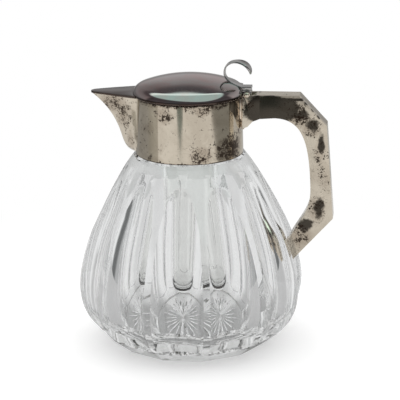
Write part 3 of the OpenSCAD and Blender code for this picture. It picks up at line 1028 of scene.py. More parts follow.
@dataclass
class Collar:
    """The tapered collar with its mouth, its inner rim and the cement behind it."""

    wall: float = 1.2
    rim_h: float = 6.4
    ledge_t: float = 1.4
    ledge_w: float = 3.6
    mouth: tuple[Point2, ...] = ((-5.4, 188.4), (5.4, 188.4), (12.0, 210.4), (10.0, 214.4),
                                 (-10.0, 214.4), (-12.0, 210.4))
    mouth_zone: Point2 = (-38.0, 180.0)

    def build(self, metal: Material, plain: Material, cement: Material) -> None:
        """Builds the collar's pieces.

        Args:
            metal: Finish of the band.
            plain: Finish of the rim inside.
            cement: The plaster.
        """
        foot, top = COLLAR_Z, COLLAR_TOP
        band = [(collar_out(foot) - 0.45, foot), (collar_out(foot), foot + 0.35),
                (collar_out(foot + 1.5) - 0.05, foot + 1.3)]
        band += [(collar_out(z), z) for z in (foot + 1.8, foot + 2.3, foot + 16, foot + 32,
                                              top - 1.7, top - 1.2)]
        band += [(collar_out(top) - 0.15, top - 0.45), (collar_out(top) - 0.5, top)]
        inside = [(collar_out(z) - self.wall, z) for z in (foot, foot + 16, foot + 32, top)]
        bm = spun(ring_profile(band, inside), 192)
        self.cut_mouth(bm)
        piece(bm, "collar_shell", Kind.PLATED, metal, "collar_band")
        low = top - self.rim_h
        reach = collar_out(top) - self.wall
        ledge = low + self.ledge_t
        ring = [(reach - self.ledge_w, low), (reach, low), (reach - 0.05, top - 0.3),
                (reach - 0.3, top - 0.02), (reach - 1.1, top - 0.02), (reach - 1.4, top - 0.3),
                (reach - 1.4, ledge + 0.3), (reach - 1.7, ledge), (reach - self.ledge_w, ledge)]
        piece(spun([*ring, ring[0]], 128), "collar_ledge", Kind.PLATED, plain, "collar_rim")
        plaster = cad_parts["collar_plaster"].data.materials
        plaster.clear()
        plaster.append(cement)

    def cut_mouth(self, bm: Mesh) -> None:
        """Cuts the pouring mouth through the collar, behind the spout.

        Args:
            bm: The collar's mesh.
        """
        sides = list(zip(self.mouth, [*self.mouth[1:], self.mouth[0]]))

        def near() -> list:
            """Lists the geometry round the mouth.

            Returns:
                Faces, edges and corners.
            """
            faces = [f for f in bm.faces if f.calc_center_median().x < self.mouth_zone[0]
                     and f.calc_center_median().z > self.mouth_zone[1]]
            edges = {e for f in faces for e in f.edges}
            verts = {v for f in faces for v in f.verts}
            return [*faces, *edges, *verts]

        for (y0, z0), (y1, z1) in sides:
            normal = Vector((0.0, z1 - z0, y0 - y1)).normalized()
            bmesh.ops.bisect_plane(bm, geom=near(), dist=1e-4, plane_co=(0, y0, z0),
                                   plane_no=normal)

        def inside(c: Vector) -> bool:
            """Tells whether a place is in the mouth.

            Args:
                c: The place.

            Returns:
                True in the mouth.
            """
            return c.x < 0 and all((y1 - y0) * (c.z - z0) > (z1 - z0) * (c.y - y0)
                                   for (y0, z0), (y1, z1) in sides)

        doomed = [f for f in bm.faces if inside(f.calc_center_median())]
        bmesh.ops.delete(bm, geom=doomed, context="FACES")
        bridge_open(bm)


@dataclass
class Spout:
    """The sheet-metal spout with its keel, and the solder strips along the collar."""

    reach: float = 85.0
    bend_x: float = 59.4
    bend_h: float = 14.0
    half_w: float = 19.6
    tip_r: float = 2.2
    wall: float = 1.0
    strip_half: float = 1.15
    strip_rise: float = 0.55
    foot_gap: float = 0.3
    side_bow: float = 0.05
    keel_crowding: float = 1.5
    shares: tuple[Point2, ...] = ((0, 0.25), (0.03, 0.5), (0.09, 0.72), (0.2, 0.84), (0.5, 0.92),
                                  (1, 1))

    def keel(self) -> list[Point2]:
        """Draws the keel's outline.

        Returns:
            Points of reach and height, from the spout's foot to its tip.
        """
        foot_z = COLLAR_Z + self.foot_gap
        bend = (self.bend_x, COLLAR_Z + self.bend_h)
        return [
            *bezier((COLLAR_R - 0.2, foot_z), (COLLAR_R + 6.7, foot_z - 0.2),
                    (bend[0] - 2.9, bend[1] - 10), bend, 14),
            *bezier(bend, (bend[0] + 3.4, bend[1] + 11.7), (self.reach - 16, COLLAR_TOP - 12.4),
                    (self.reach, COLLAR_TOP), 30, 1)]

    def half(self, z: float) -> float:
        """Returns the spout's half width at the collar at a height."""
        foot_z = COLLAR_Z + self.foot_gap
        return self.half_w * lookup((z - foot_z) / (COLLAR_TOP - foot_z), self.shares)

    def point(self, side: float, keel: Point2) -> Vector:
        """Places a point of the skin.

        Args:
            side: From -1 at the collar on one side, through 0 at the keel, to 1 on the other.
            keel: The keel's point at that level.

        Returns:
            The point.
        """
        tip, z = keel
        half = self.half(z)
        root = sqrt(max(0.0, (collar_out(z) - 0.4) ** 2 - half * half))
        length = max(0.3, tip - root)
        nose = self.tip_r * (0.35 + 0.65 * (z - COLLAR_Z) / (COLLAR_TOP - COLLAR_Z))
        nose = min(nose, 0.4 * length)
        s = abs(side) * length
        y = half * sqrt(s * s + 2 * s * nose) / sqrt(length * length + 2 * length * nose)
        y += self.side_bow * half * sin(pi * abs(side))
        return Vector((s - tip, copysign(y, side), z))

    def build(self, metal: Material) -> None:
        """Builds the spout and its solder strips.

        Args:
            metal: Their finish.
        """
        keel = self.keel()
        last = len(keel) - 1

        def place(u: float, v: float) -> Vector:
            """Places a point of the skin, with the points closer together at the keel."""
            side = copysign(abs(2 * u - 1) ** self.keel_crowding, 2 * u - 1)
            return self.point(side, keel[round(v * last)])

        bm = sheet(48, last, place)
        face_outwards(bm, lambda c: Vector((-0.6, copysign(1.0, c.y), -0.3)))
        skin = piece(bm, "spout_trough", Kind.PLATED, metal, "spout_body", sharp=50.0)
        solid = skin.modifiers.new("wall", "SOLIDIFY")
        solid.thickness = self.wall * MM
        solid.offset = -1.0
        strips = joined([self.strip(way) for way in (-1.0, 1.0)])
        piece(strips, "spout_solder_strips", Kind.PLATED, metal, sharp=35.0)

    def strip(self, way: float) -> Mesh:
        """Returns the strip of solder on one side of the spout.

        Args:
            way: 1 or -1, the side of y.

        Returns:
            The strip.
        """
        def place(u: float, v: float) -> Vector:
            """Places a point of the strip, half round in section.

            Args:
                u: Share across the strip.
                v: Share along it.

            Returns:
                The point.
            """
            z = COLLAR_Z + 1.0 + v * (COLLAR_TOP - COLLAR_Z - 1.4)
            angle = pi * (1.0 - u)
            spread = self.strip_half * cos(angle)
            turn = asin(min(1.0, self.half(z) / collar_out(z))) + spread / COLLAR_R
            r = collar_out(z) - 0.15 + self.strip_rise * sin(angle)
            return Vector((-r * cos(turn), way * r * sin(turn), z))

        bm = sheet(8, 40, place)
        face_outwards(bm, lambda c: Vector((c.x, c.y, 0)))
        return bm


@dataclass
class Lid:
    """The domed lid, its plate with the cover over the spout, and the lug of the hinge."""

    rim_r: float = 48.5
    roll: float = 9.6
    sink: float = 0.4
    height: float = 16.1
    wall: float = 1.1
    plate_t: float = 1.6
    ring_w: float = 4.2
    cover_half: float = 21.5
    reach: float = 85.3
    nose_r: float = 6.4
    lug_w: float = 10.8
    lug_fore: float = 7.2
    lug_aft: float = 3.7
    lug_rise: float = 6.3
    knuckle_r: float = 3.6

    def outline(self, shell: float, steps: int) -> list[Point2]:
        """Draws the lid's outline.

        Args:
            shell: How far inside the outside it runs.
            steps: Number of stretches of the rolled rim.

        Returns:
            Points of radius and height, from the rim to the top.
        """
        mid_r = self.rim_r - self.roll
        mid_z = LID_Z - self.sink
        top = LID_Z + self.height
        rise = top - mid_z
        dome = (mid_r ** 2 + rise ** 2 - self.roll ** 2) / (2 * (rise - self.roll))
        high = acos(mid_r / (dome - self.roll))
        side = self.roll - shell
        low = asin((LID_Z + self.plate_t - mid_z) / side)
        points = []
        for i in range(steps + 1):
            a = low + (high - low) * i / steps
            points.append((mid_r + side * cos(a), mid_z + side * sin(a)))
        last = (dome - shell) * cos(high)
        for share in (0.96, 0.9, 0.82, 0.73, 0.63, 0.52, 0.41, 0.3, 0.2, 0.1, 0.0):
            r = last * share
            points.append((r, top - dome + sqrt((dome - shell) ** 2 - r * r)))
        return points

    def build(self, metal: Material, steel: Material) -> None:
        """Builds the lid's pieces.

        Args:
            metal: Finish of the dome and its plate.
            steel: Finish of the lug.
        """
        outer, inner = self.outline(0.0, 16), self.outline(self.wall, 16)
        bm = spun([*reversed(outer), *inner], 192)
        bridge_open(bm)
        piece(bm, "lid_shell", Kind.LID, metal, "lid_dome", sharp=40.0)
        piece(self.plate(), "lid_cover_plate", Kind.LID, metal, "lid_plate")
        piece(self.lug(), "hinge_lug", Kind.LID, steel, "lid_lug")

    def plate(self) -> Mesh:
        """Makes the ring under the dome and the cover over the spout, in one.

        Returns:
            The mesh.
        """
        rise = self.sink + self.plate_t
        plate_r = self.rim_r - self.roll + sqrt(self.roll ** 2 - rise ** 2)
        hole_r = plate_r - self.ring_w
        tip_r = self.nose_r
        away = asin(self.cover_half / plate_r)
        ring = spun([(hole_r, LID_Z + 0.2), (hole_r + 0.2, LID_Z), (plate_r - 0.4, LID_Z),
                     (plate_r, LID_Z + 0.4), (plate_r, LID_Z + self.plate_t),
                     (hole_r, LID_Z + self.plate_t), (hole_r, LID_Z + 0.2)], 144)
        outline = []
        seam_r = plate_r - 0.9
        for i in range(13):
            turn = pi - away + 2 * away * i / 12
            outline.append((seam_r * cos(turn), seam_r * sin(turn)))
        side = bezier((-plate_r * cos(away), -self.cover_half),
                      (-plate_r - 8, -0.76 * self.cover_half),
                      (-self.reach + 14, -tip_r - 5.2),
                      (-self.reach + 0.74 * tip_r, -0.966 * tip_r), 14, 1)
        tip = [(-self.reach + tip_r + tip_r * cos(a), tip_r * sin(a))
               for a in (radians(d) for d in range(250, 109, -10))]
        cover = [*outline, *side, *tip, *[(x, -y) for x, y in reversed(side)]]
        bm = prism([(x, y, LID_Z) for x, y in cover], (0, 0, self.plate_t))
        rims = [e for e in sharp_edges(bm, 50.0) if e.verts[0].co.x < -plate_r * 0.9
                and abs(e.verts[0].co.z - e.verts[1].co.z) < 0.1]
        bevel(bm, rims, 0.5, 3)
        split_big(bm)
        return joined([ring, bm])

    def lug(self) -> Mesh:
        """Makes the stacked block on the lid's back, with its knuckle.

        Returns:
            The mesh.
        """
        half = self.lug_w / 2
        front, back = HINGE_X - self.lug_fore, HINGE_X + self.lug_aft
        top = HINGE_Z + self.lug_rise
        layers = [(HINGE_Z, HINGE_Z + 1.9, 0.0), (HINGE_Z + 2.05, HINGE_Z + 3.9, 0.25),
                  (HINGE_Z + 4.05, top, 0.0)]
        parts = []
        for low, high, inset in layers:
            start = front + (4.6 if low < HINGE_Z + 1 else 0.0)
            bm = slab((start, inset - half, low), (back - inset, half - inset, high))
            bevel(bm, bm.edges[:], 0.3)
            parts.append(bm)
        parts.append(slab((front + 5.0, 0.5 - half, HINGE_Z - 0.5),
                          (back - 0.5, half - 0.5, top - 0.5)))
        knuckle = bmesh.new()
        bmesh.ops.create_cone(knuckle, cap_ends=True, segments=48, radius1=self.knuckle_r,
                              radius2=self.knuckle_r, depth=self.lug_w)
        lay_on_pin(knuckle)
        bevel(knuckle, sharp_edges(knuckle), 0.3)
        parts.append(knuckle)
        return joined(parts)


@dataclass
class Thumbpiece:
    """The curled strip on the lid that ends in a dished leaf."""

    thickness: float = 1.4
    foot: tuple[Point2, ...] = ((46.3, 228.4), (38.8, 230.4), (31.4, 233.2), (31.3, 240.6))
    rise: tuple[Point2, ...] = ((31.3, 240.6), (31.2, 246.8), (35.9, 250.1), (40.8, 250.0))
    curl: tuple[Point2, ...] = ((40.8, 250.0), (46.9, 249.9), (53.0, 245.6), (53.8, 239.4))
    widths: tuple[Point2, ...] = ((0, 15.0), (0.1, 12.0), (0.22, 8.2), (0.34, 6.2), (0.5, 6.6),
                                  (0.62, 9.4), (0.72, 13.2), (0.82, 15.0), (0.9, 14.2),
                                  (0.95, 11.6), (0.98, 8.0), (1, 3.4))
    dish: float = 1.5

    def build(self, metal: Material) -> None:
        """Builds the thumbpiece.

        Args:
            metal: Its finish.
        """
        line = [*bezier(*self.foot, 22), *bezier(*self.rise, 12, 1), *bezier(*self.curl, 20, 1)]
        last = len(line) - 1

        def place(u: float, v: float) -> Vector:
            """Places a point of the strip.

            Args:
                u: Share across the strip.
                v: Share along it.

            Returns:
                The point.
            """
            i = round(v * last)
            x, z = line[i]
            ax, az = line[max(i - 1, 0)]
            bx, bz = line[min(i + 1, last)]
            length = hypot(bx - ax, bz - az)
            normal = (-(bz - az) / length, (bx - ax) / length)
            side = 2 * u - 1
            half = lookup(v, self.widths) / 2
            bow = self.dish * smooth(v, 0.5, 0.8) * (half / 7.0) ** 2 * (side * side - 0.4)
            bow -= 0.5 * (1 - smooth(v, 0.1, 0.45)) * side * side
            return Vector((x + normal[0] * bow, half * side, z + normal[1] * bow))

        bm = sheet(12, last, place)
        face_outwards(bm, lambda c: Vector((c.x - 42, 0, c.z - 240)))
        strip = piece(bm, "thumb_leaf", Kind.LID, metal, "thumbpiece", sharp=60.0)
        solid = strip.modifiers.new("thickness", "SOLIDIFY")
        solid.thickness = self.thickness * MM
        solid.offset = 0.0
        edge = strip.modifiers.new("edge", "BEVEL")
        edge.width = 0.3 * MM
        edge.segments = 2
        edge.limit_method = "ANGLE"
        edge.angle_limit = radians(50)


@dataclass
class Hinge:
    """The handle's cast root with the pin, and the plate behind it."""

    pin_r: float = 1.5
    head_r: float = 2.2
    head_t: float = 0.8

    def build(self, metal: Material, root: Material) -> None:
        """Builds the bracket, the root plate and the pin.

        Args:
            metal: Finish of the bracket and the pin.
            root: Finish of the root plate.
        """
        piece(cad_copy("hinge_bracket", 0.35), "hinge_bracket_cast", Kind.PLATED, metal,
              "hinge_bracket")
        piece(cad_copy("handle_root_plate", 0.25), "handle_root_flange", Kind.PLATED, root,
              "handle_root_plate")
        line = [(0.0, -HALF_WIDTH - self.head_t - 0.1), (1.2, -HALF_WIDTH - self.head_t),
                (1.9, -HALF_WIDTH - 0.55), (self.head_r, -HALF_WIDTH - 0.1),
                (self.head_r, -HALF_WIDTH), (self.pin_r, -HALF_WIDTH)]
        bm = spun([*line, *[(r, -z) for r, z in reversed(line)]], 40)
        lay_on_pin(bm)
        piece(bm, "hinge_pin_riveted", Kind.PLATED, metal, "hinge_pin", sharp=45.0)


@dataclass
class Handle:
    """The angular hollow handle, in two stamped halves with a plate on its foot."""

    start_x: float = 62.0
    top_z: float = 222.5
    reach: float = 125.3
    side_lean: float = 5.9
    slant_run: float = 23.5
    slant_drop: float = 25.5
    corner_z: float = 114.4
    tip: Point2 = (90.2, 75.8)
    heel: Point2 = (86.2, 92.8)
    grip_d: float = 19.5
    arm_h: float = 19.5
    inner_round: float = 3.4
    outer_round: float = 0.7
    seam_round: float = 0.18

    def inner_path(self) -> list[Point2]:
        """Draws the grip side.

        Returns:
            Points of x and z, from the foot up to the root.
        """
        grip = (self.reach - self.grip_d, self.corner_z + 25)
        arch = (self.start_x + 13, self.top_z - self.arm_h)
        return [
            *bezier(self.heel, (self.heel[0] + 6.5, self.heel[1] + 16), (grip[0], grip[1] - 22),
                    grip, 16),
            *bezier(grip, (grip[0] - 0.8, self.top_z - 2.05 * self.arm_h),
                    (grip[0] - 7, arch[1] - 0.5), arch, 22, 1),
            (self.start_x, arch[1] - 0.9)]

    def half(self, way: float) -> Mesh:
        """Returns one half of the handle.

        Args:
            way: -1 for the near half and 1 for the far one.

        Returns:
            The closed half.
        """
        side = (self.reach - self.side_lean, self.top_z - self.slant_drop)
        corners = [(self.start_x, self.top_z), (side[0] - self.slant_run, self.top_z), side,
                   (self.reach, self.corner_z), self.tip]
        inner = self.inner_path()
        bm = prism([(x, 0.0, z) for x, z in (*corners, *inner)], (0, way * HALF_WIDTH, 0))
        kept = {(round(x, 3), round(z, 3)) for x, z in inner}

        def on_grip(v: bmesh.types.BMVert) -> bool:
            """Tells whether a corner is on the grip side."""
            return (round(v.co.x, 3), round(v.co.z, 3)) in kept

        def at(y: float, edges: Iterable[Edge]) -> list[Edge]:
            """Returns the edges that lie at a place across the handle."""
            return [e for e in edges if all(abs(v.co.y - y) < 1e-4 for v in e.verts)]

        rim = at(way * HALF_WIDTH, bm.edges)
        bevel(bm, [e for e in rim if all(on_grip(v) for v in e.verts)], self.inner_round, 5)
        bevel(bm, at(way * HALF_WIDTH, sharp_edges(bm, 40.0)), self.outer_round, 3)
        bevel(bm, at(0.0, sharp_edges(bm, 40.0)), self.seam_round, 1)
        split_big(bm)
        return bm

    def build(self, metal: Material) -> None:
        """Builds the two halves and the foot's plate.

        Args:
            metal: Their finish.
        """
        piece(self.half(-1.0), "handle_near_shell", Kind.PLATED, metal, "handle_near_half")
        piece(self.half(1.0), "handle_far_shell", Kind.PLATED, metal, "handle_far_half")
        piece(cad_copy("handle_foot_cap", 0.3), "handle_foot_plate", Kind.PLATED, metal,
              "handle_foot_cap")


@dataclass(frozen=True)
class Sky:
    """Tones of the surroundings that metal shows, by where they are seen from the jug."""

    behind: Colour = (0.48, 0.475, 0.475)
    behind_low: Colour = (0.3, 0.3, 0.3)
    behind_floor: Colour = (0.52, 0.52, 0.51)
    above: Colour = (0.1, 0.1, 0.105)
    left: Colour = (0.45, 0.445, 0.415)
    right: Colour = (0.231, 0.23, 0.217)
    front: Colour = (0.73, 0.725, 0.715)
    front_from: float = -71.0
    front_to: float = 47.0
    front_lean_at: float = -11.9
    stand: Colour = (0.17, 0.205, 0.19)
    stand_at: float = -20.0
    stand_half: float = 6.5
    stand_foot: float = -13.1
    panel: Colour = (0.56, 0.78, 0.73)
    panel_core: Colour = (1.15, 1.5, 1.42)
    panel_at: Point2 = (0.14, 0.3)
    panel_size: Point2 = (1.38, 0.95)
    panel_turn: float = 44.0
    panel_mid: float = -0.42
    side: Colour = (0.42, 0.425, 0.425)
    side_dark: Colour = (0.15, 0.155, 0.155)
    rear: Colour = (0.62, 0.625, 0.62)
    rear_edge: Colour = (0.85, 0.855, 0.855)
    fore: Colour = (0.7, 0.7, 0.7)
    top: Colour = (0.9, 0.9, 0.9)
    flank_shade: float = 0.42
    flank_edges: tuple[Point2, Point2] = ((-176.0, -166.0), (-70.0, -110.0))
    side_edge: Point2 = (4.0, 14.0)
    fore_edge: Point2 = (54.0, 66.0)
    rear_from: Point2 = (116.0, 128.0)
    rear_mid: Point2 = (138.0, 154.0)
    top_from: Point2 = (25.0, 60.0)
    lamp_from: Point2 = (5.0, 10.0)
    lamp_edge: Point2 = (1.15, 0.9)
    lamp_behind: float = 0.5
    low_edge: Point2 = (-6.0, 0.0)
    behind_edge: Point2 = (2.0, 11.0)
    ahead_edge: Point2 = (104.0, 92.0)
    middle_edge: Point2 = (-12.0, 12.0)
    above_edge: Point2 = (-6.0, 6.0)
    dim_from: Point2 = (14.0, 46.0)
    dim_most: float = 0.5
    front_lean: float = 7.0
    front_lean_most: float = 16.0
    stand_taper: float = 7.0
    panel_foot: Point2 = (10.0, 5.0)
    panel_shade: Point2 = (1.6, 1.15)
    panel_edge: Point2 = (1.06, 0.9)


@dataclass
class Studio:
    """The floor, the surroundings and the camera."""

    view_azimuth: float = 7.6
    sky_azimuth: float = 8.0
    view_elevation: float = 16.83
    distance: float = 1500.0
    target_z: float = 120.0
    focal: float = 153.69
    aim_right: float = 8.43
    aim_up: float = 5.48
    roll: float = 0.85
    floor_r: float = 560.0
    paper: Colour = (0.68, 0.68, 0.678)
    paper_through: Colour = (0.28, 0.28, 0.28)
    white_from: Point2 = (0.16, 0.42)
    glow: float = 0.465
    glow_through: float = 0.44
    glow_ring: float = 0.13
    glow_drop: float = 0.22
    dim: Colour = (0.45, 0.45, 0.45)
    lamp: Colour = (1.65, 1.65, 1.65)
    sky: Sky = field(default_factory=Sky)

    def ways(self, azimuth: float) -> tuple[Point3, Point3]:
        """Returns the level directions ahead and to the right, seen from an azimuth in degrees."""
        az = radians(azimuth)
        return (-sin(az), cos(az), 0.0), (cos(az), sin(az), 0.0)

    def camera(self) -> None:
        """Places the camera at the photograph's angle."""
        el = radians(self.view_elevation)
        ahead, right = (Vector(way) for way in self.ways(self.view_azimuth))
        target = Vector((0, 0, self.target_z * MM))
        eye = target + self.distance * MM * (Vector((0, 0, sin(el))) - ahead * cos(el))
        ahead = (target - eye).normalized()
        up = right.cross(ahead)
        lean = radians(self.roll)
        right, up = (right * cos(lean) - up * sin(lean),
                     right * sin(lean) + up * cos(lean))
        aim = target + right * self.aim_right * MM + up * self.aim_up * MM
        ahead = (aim - eye).normalized()
        right = (right - ahead * right.dot(ahead)).normalized()
        up = right.cross(ahead)
        data = bpy.data.cameras.new("camera")
        data.lens = self.focal
        data.sensor_width = 36.0
        data.clip_start = 0.05
        cam = bpy.data.objects.new("camera", data)
        turn = Matrix((right, up, -ahead)).transposed().to_4x4()
        cam.matrix_world = Matrix.Translation(eye) @ turn
        bpy.context.scene.collection.objects.link(cam)
        bpy.context.scene.camera = cam

    def floor(self) -> None:
        """Makes the pale floor, which fades into the white surroundings."""
        bm = bmesh.new()
        bmesh.ops.create_circle(bm, cap_ends=True, segments=96, radius=self.floor_r)
        bmesh.ops.translate(bm, vec=(0, 0, -0.05), verts=bm.verts)
        s = Surface("pale_floor")
        s.tree.nodes.remove(s.shader)
        ray = s.add("ShaderNodeLightPath").outputs
        far = s.step(s.vector("LENGTH", s.coord).outputs["Value"], *self.white_from)
        back, side = (s.dot(s.coord, way) for way in self.ways(self.view_azimuth))
        turn = s.size(s.math("DEGREES", s.math("ARCTAN2", side, back)))
        # Seen through the glass the floor is painted: a darker paper colour, as painted shade, and
        # a glow that is brighter in a band on either side of the front and dimmer further round,
        # as painted light.
        band = s.times(s.step(turn, 14.0, 24.0), s.step(turn, 52.0, 42.0))
        drift = s.minus(s.times(band, self.glow_ring),
                        s.times(s.step(turn, 48.0, 62.0), self.glow_drop))
        paper = s.add("ShaderNodeBsdfDiffuse", {
            "Color": s.mix(ray["Is Transmission Ray"], self.paper, self.paper_through)})
        glow = s.plus(s.times(ray["Is Camera Ray"], self.glow),
                      s.times(ray["Is Transmission Ray"], s.plus(drift, self.glow_through)))
        lift = s.add("ShaderNodeEmission", {"Color": (1, 1, 1, 1), "Strength": glow})
        near = s.add("ShaderNodeAddShader", {0: paper.outputs[0], 1: lift.outputs[0]})
        white = s.add("ShaderNodeEmission", {"Color": (1, 1, 1, 1), "Strength": 1.0})
        blend = s.add("ShaderNodeMixShader", {0: s.times(far, ray["Is Camera Ray"]),
                                              1: near.outputs[0], 2: white.outputs[0]})
        s.plug(s.tree.nodes["Material Output"].inputs["Surface"], blend.outputs[0])
        add_object(bm, "floor", s.material)

    def surroundings(self) -> None:
        """Makes the world: white for the camera, and toned for metal and glass."""
        world = bpy.data.worlds.new("studio")
        bpy.context.scene.world = world
        world.use_nodes = True
        s = NodeSketch(world.node_tree)
        ray = s.add("ShaderNodeLightPath").outputs
        way = s.add("ShaderNodeTexCoord").outputs["Generated"]
        back, right = self.ways(self.sky_azimuth)
        ahead, side = s.dot(way, [-c for c in back]), s.dot(way, right)
        rise = s.add("ShaderNodeSeparateXYZ", {0: way}).outputs[2]
        turn = s.math("DEGREES", s.math("ARCTAN2", side, ahead))
        height = s.math("DEGREES", s.math("ARCSINE", rise))
        across, along = s.math("DIVIDE", side, rise), s.math("DIVIDE", ahead, rise)
        sky = self.sky
        wide = s.size(turn)
        beside = s.step(s.size(s.minus(wide, 90.0)), *sky.side_edge)
        clear = s.mix(beside, sky.side, sky.side_dark)
        clear = s.mix(s.step(wide, *sky.fore_edge), sky.fore, clear)
        clear = s.mix(s.step(wide, *sky.rear_from), clear, sky.rear_edge)
        clear = s.mix(s.step(wide, *sky.rear_mid), clear, sky.rear)
        clear = s.mix(s.step(height, *sky.top_from), clear, sky.top)
        overhead = s.times(s.step(height, *sky.lamp_from), s.times(
            s.step(s.size(across), *sky.lamp_edge),
            s.step(s.size(s.plus(along, sky.lamp_behind)), *sky.lamp_edge)))
        seen = s.mix(ray["Is Glossy Ray"], s.mix(overhead, self.dim, self.lamp),
                     self.reflected(s, turn, height, across, along))
        seen = s.mix(ray["Is Transmission Ray"], seen, clear)
        seen = s.mix(ray["Is Camera Ray"], seen, (1.0, 1.0, 1.0))
        backdrop = s.tree.nodes["Background"].inputs
        s.plug(backdrop["Color"], seen)
        s.plug(backdrop["Strength"], 1.0)

    def reflected(self, s: NodeSketch, turn: Socket,
                  height: Socket, across: Socket,
                  along: Socket) -> Socket:
        """Gives the tone that metal shows.

        Args:
            s: The world's sketch.
            turn: Azimuth from the front in degrees.
            height: Elevation in degrees.
            across: Place to the right on a ceiling one unit above the jug.
            along: Place towards the viewer on that ceiling.

        Returns:
            The tone.
        """
        sky, black = self.sky, (0.0, 0.0, 0.0)
        tone = s.mix(s.step(height, *sky.low_edge), sky.behind_floor, sky.behind_low)
        tone = s.mix(s.step(height, *sky.behind_edge), tone, sky.behind)
        ahead = s.step(s.size(turn), *sky.ahead_edge)
        sides = s.mix(s.step(turn, *sky.middle_edge), sky.left, sky.right)
        spread = s.times(s.minus(sky.front_lean_at, height), sky.front_lean)
        spread = s.math("MINIMUM", s.math("MAXIMUM", spread, 0.0), sky.front_lean_most)
        bright = s.times(
            s.step(turn, sky.front_from - 1.0, sky.front_from + 1.0),
            s.step(s.minus(turn, spread), sky.front_to + 1.0, sky.front_to - 1.0))
        tone = s.mix(ahead, tone, s.mix(bright, sides, sky.front))
        off = s.size(s.minus(turn, sky.stand_at))
        taper = s.times(s.minus(height, sky.stand_foot), sky.stand_taper)
        stand = s.times(s.step(s.minus(taper, off), -0.8, 0.8),
                        s.step(off, sky.stand_half + 0.7, sky.stand_half - 0.7))
        tone = s.mix(stand, tone, sky.stand)
        tone = s.mix(s.times(ahead, s.step(height, *sky.above_edge)), tone, sky.above)
        tone = s.mix(s.step(height, *sky.dim_from, 0.0, sky.dim_most), tone, black)
        flank = s.times(*[s.step(turn, *edge) for edge in sky.flank_edges])
        tone = s.mix(s.times(flank, sky.flank_shade), tone, black)
        lean = radians(sky.panel_turn)
        right, near = (s.minus(v, at) for v, at in zip((across, along), sky.panel_at))
        arms = [s.plus(s.times(right, c / size), s.times(near, d / size))
                for c, d, size in ((cos(lean), sin(lean), sky.panel_size[0]),
                                   (-sin(lean), cos(lean), sky.panel_size[1]))]
        reach = s.math("SQRT", s.plus(*[s.times(v, v) for v in arms]))
        reach = s.plus(reach, s.step(height, *sky.panel_foot, 0.0, 9.0))
        tone = s.mix(s.step(reach, *sky.panel_shade), tone, sky.above)
        panel = s.step(reach, *sky.panel_edge)
        core = s.step(along, sky.panel_mid + 0.12, sky.panel_mid - 0.06)
        return s.mix(panel, tone, s.mix(core, sky.panel, sky.panel_core))

    def build(self) -> None:
        """Builds the stage."""
        self.camera()
        self.floor()
        self.surroundings()
        scene = bpy.context.scene
        scene.view_settings.view_transform = "Standard"
        scene.cycles.max_bounces = 32
        scene.cycles.transmission_bounces = 32
        scene.cycles.glossy_bounces = 16
        log.info("studio ready")


def side_spots(y: float, deep: float, rows: Iterable[tuple[float, ...]]) -> tuple[Spot, ...]:
    """Lists spots on a side of the jug.

    Args:
        y: Where their middles are across the jug.
        deep: Their reach along y.
        rows: The x and z of a middle, the reach along x and z, and how dense it is.

    Returns:
        The spots.
    """
    return tuple(Spot((x, y, z), (wide, deep, high), cover) for x, z, wide, high, cover in rows)


# Angle from the front and height on the collar, reach round and up, and how dense.
COLLAR_SPOTS = tuple(
    Spot(on_collar(angle, z), (wide, wide, high), cover) for angle, z, wide, high, cover in (
        (-28, 212, 17, 13, 1.15), (13, 218, 15, 11, 1.2), (32, 221, 24, 8, 1.35),
        (-50, 199, 14, 14, 0.75), (10, 177, 19, 13, 1.3), (-40, 171, 18, 10, 0.95),
        (48, 180, 26, 21, 1.7), (68, 205, 16, 34, 1.15), (30, 195, 26, 18, 0.5),
        (-66, 190, 12, 30, 0.6), (180, 190, 44, 28, 1.0)))
# Tarnish in a band along the collar's top edge, and a painted shadow line along its foot where it
# sits on the glass.
EDGE_TARNISH_AND_PAINTED_SHADOW = (Spot((0, 0, 224.0), (300, 300, 9.5), 1.75),
              Spot((0, 0, 169.6), (300, 300, 2.4), 2.2))
SPOUT_SPOTS = side_spots(0.0, 60.0, (
    (-64, 214, 26, 15, 1.15), (-54, 205, 16, 24, 1.15), (-50, 180, 8, 20, 0.9)))
HANDLE_SPOTS = side_spots(-HALF_WIDTH, 30.0, (
    (50, 216, 14, 12, 1.1), (90, 212, 26, 9, 0.9), (97, 203, 17, 12, 1.2),
    (107, 194, 13, 14, 1.25), (114, 176, 10, 26, 0.9), (117, 150, 9, 18, 0.85),
    (112, 122, 14, 22, 1.15), (98, 98, 16, 18, 1.3)))
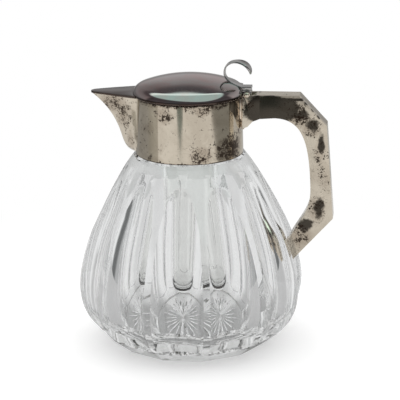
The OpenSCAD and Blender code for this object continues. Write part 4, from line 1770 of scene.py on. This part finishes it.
# Dark stains over the handle's tarnish, a painted dark reflection on the arm next to the hinge,
# and dark lines along the arm's top and slanted edges.
HANDLE_STAINS_AND_PAINTED_REFLECTIONS = (
    *side_spots(-HALF_WIDTH, 8.0, (
        (67, 210, 25, 19, 2.2), (76, 211, 30, 16, 2.0), (84, 219.6, 40, 1.9, 1.5))),
    *side_spots(-HALF_WIDTH, 6.0, (
        (103, 217, 5, 3.6, 1.1), (108, 211.5, 4, 4.6, 1.1), (113, 205.5, 4, 4.4, 1.0),
        (97, 206, 14, 8, 0.95), (107, 198, 10, 11, 0.9), (115, 181, 5.5, 17, 0.9),
        (113, 124, 8, 17, 0.85), (101, 108, 13, 11, 0.85))))


def main() -> None:
    """Builds every sub-assembly in order and dresses it."""
    logging.basicConfig(level=logging.INFO, format="%(name)s: %(message)s")
    groups = {"specks": speck_group(), "clouds": cloud_group(), "marks": wear_group()}
    crystal = Glass("cut_crystal").build()
    tube = Glass("tube_crystal", tint=(0.985, 0.988, 0.978), index=1.5).build()
    collar = Plate("collar_plate", spots=COLLAR_SPOTS + EDGE_TARNISH_AND_PAINTED_SHADOW, cover=0.28).build(groups)
    spout = Plate("spout_plate", spots=SPOUT_SPOTS, cover=0.35).build(groups)
    # The handle's plate carries dark stains and a painted dark reflection on its arm.
    handle = Plate("handle_plate", spots=HANDLE_SPOTS, cover=0.3, roughness=0.17,
                   stains_and_painted_reflections=HANDLE_STAINS_AND_PAINTED_REFLECTIONS).build(groups)
    root = Plate("root_plate", clean=(0.88, 0.74, 0.6), cover=0.35, grain=520.0).build(groups)
    inside = Plate("inner_plate", cover=0.24, roughness=0.25).build(groups)
    # The lid is painted nearly black below 223.8 mm, as shadow under the dome's rim and along the
    # cover's edge.
    dark = Plate("lid_plate_dark", clean=(0.52, 0.48, 0.47), stained=(0.56, 0.4, 0.39),
                 cover=0.0, stain=0.9, roughness=0.075, painted_shadow_below=223.8).build(groups)
    steel = Plate("thumb_plate_dark", clean=(0.5, 0.49, 0.48), stained=(0.4, 0.38, 0.37),
                  cover=0.05, stain=0.8, roughness=0.12).build(groups)
    GlassBody().build(crystal)
    IceInsert().build(tube, inside)
    Collar().build(collar, inside, cement_material())
    Spout().build(spout)
    Lid().build(dark, steel)
    Thumbpiece().build(steel)
    Hinge().build(handle, root)
    Handle().build(handle)
    Studio().build()


if __name__ == "__main__":
    main()
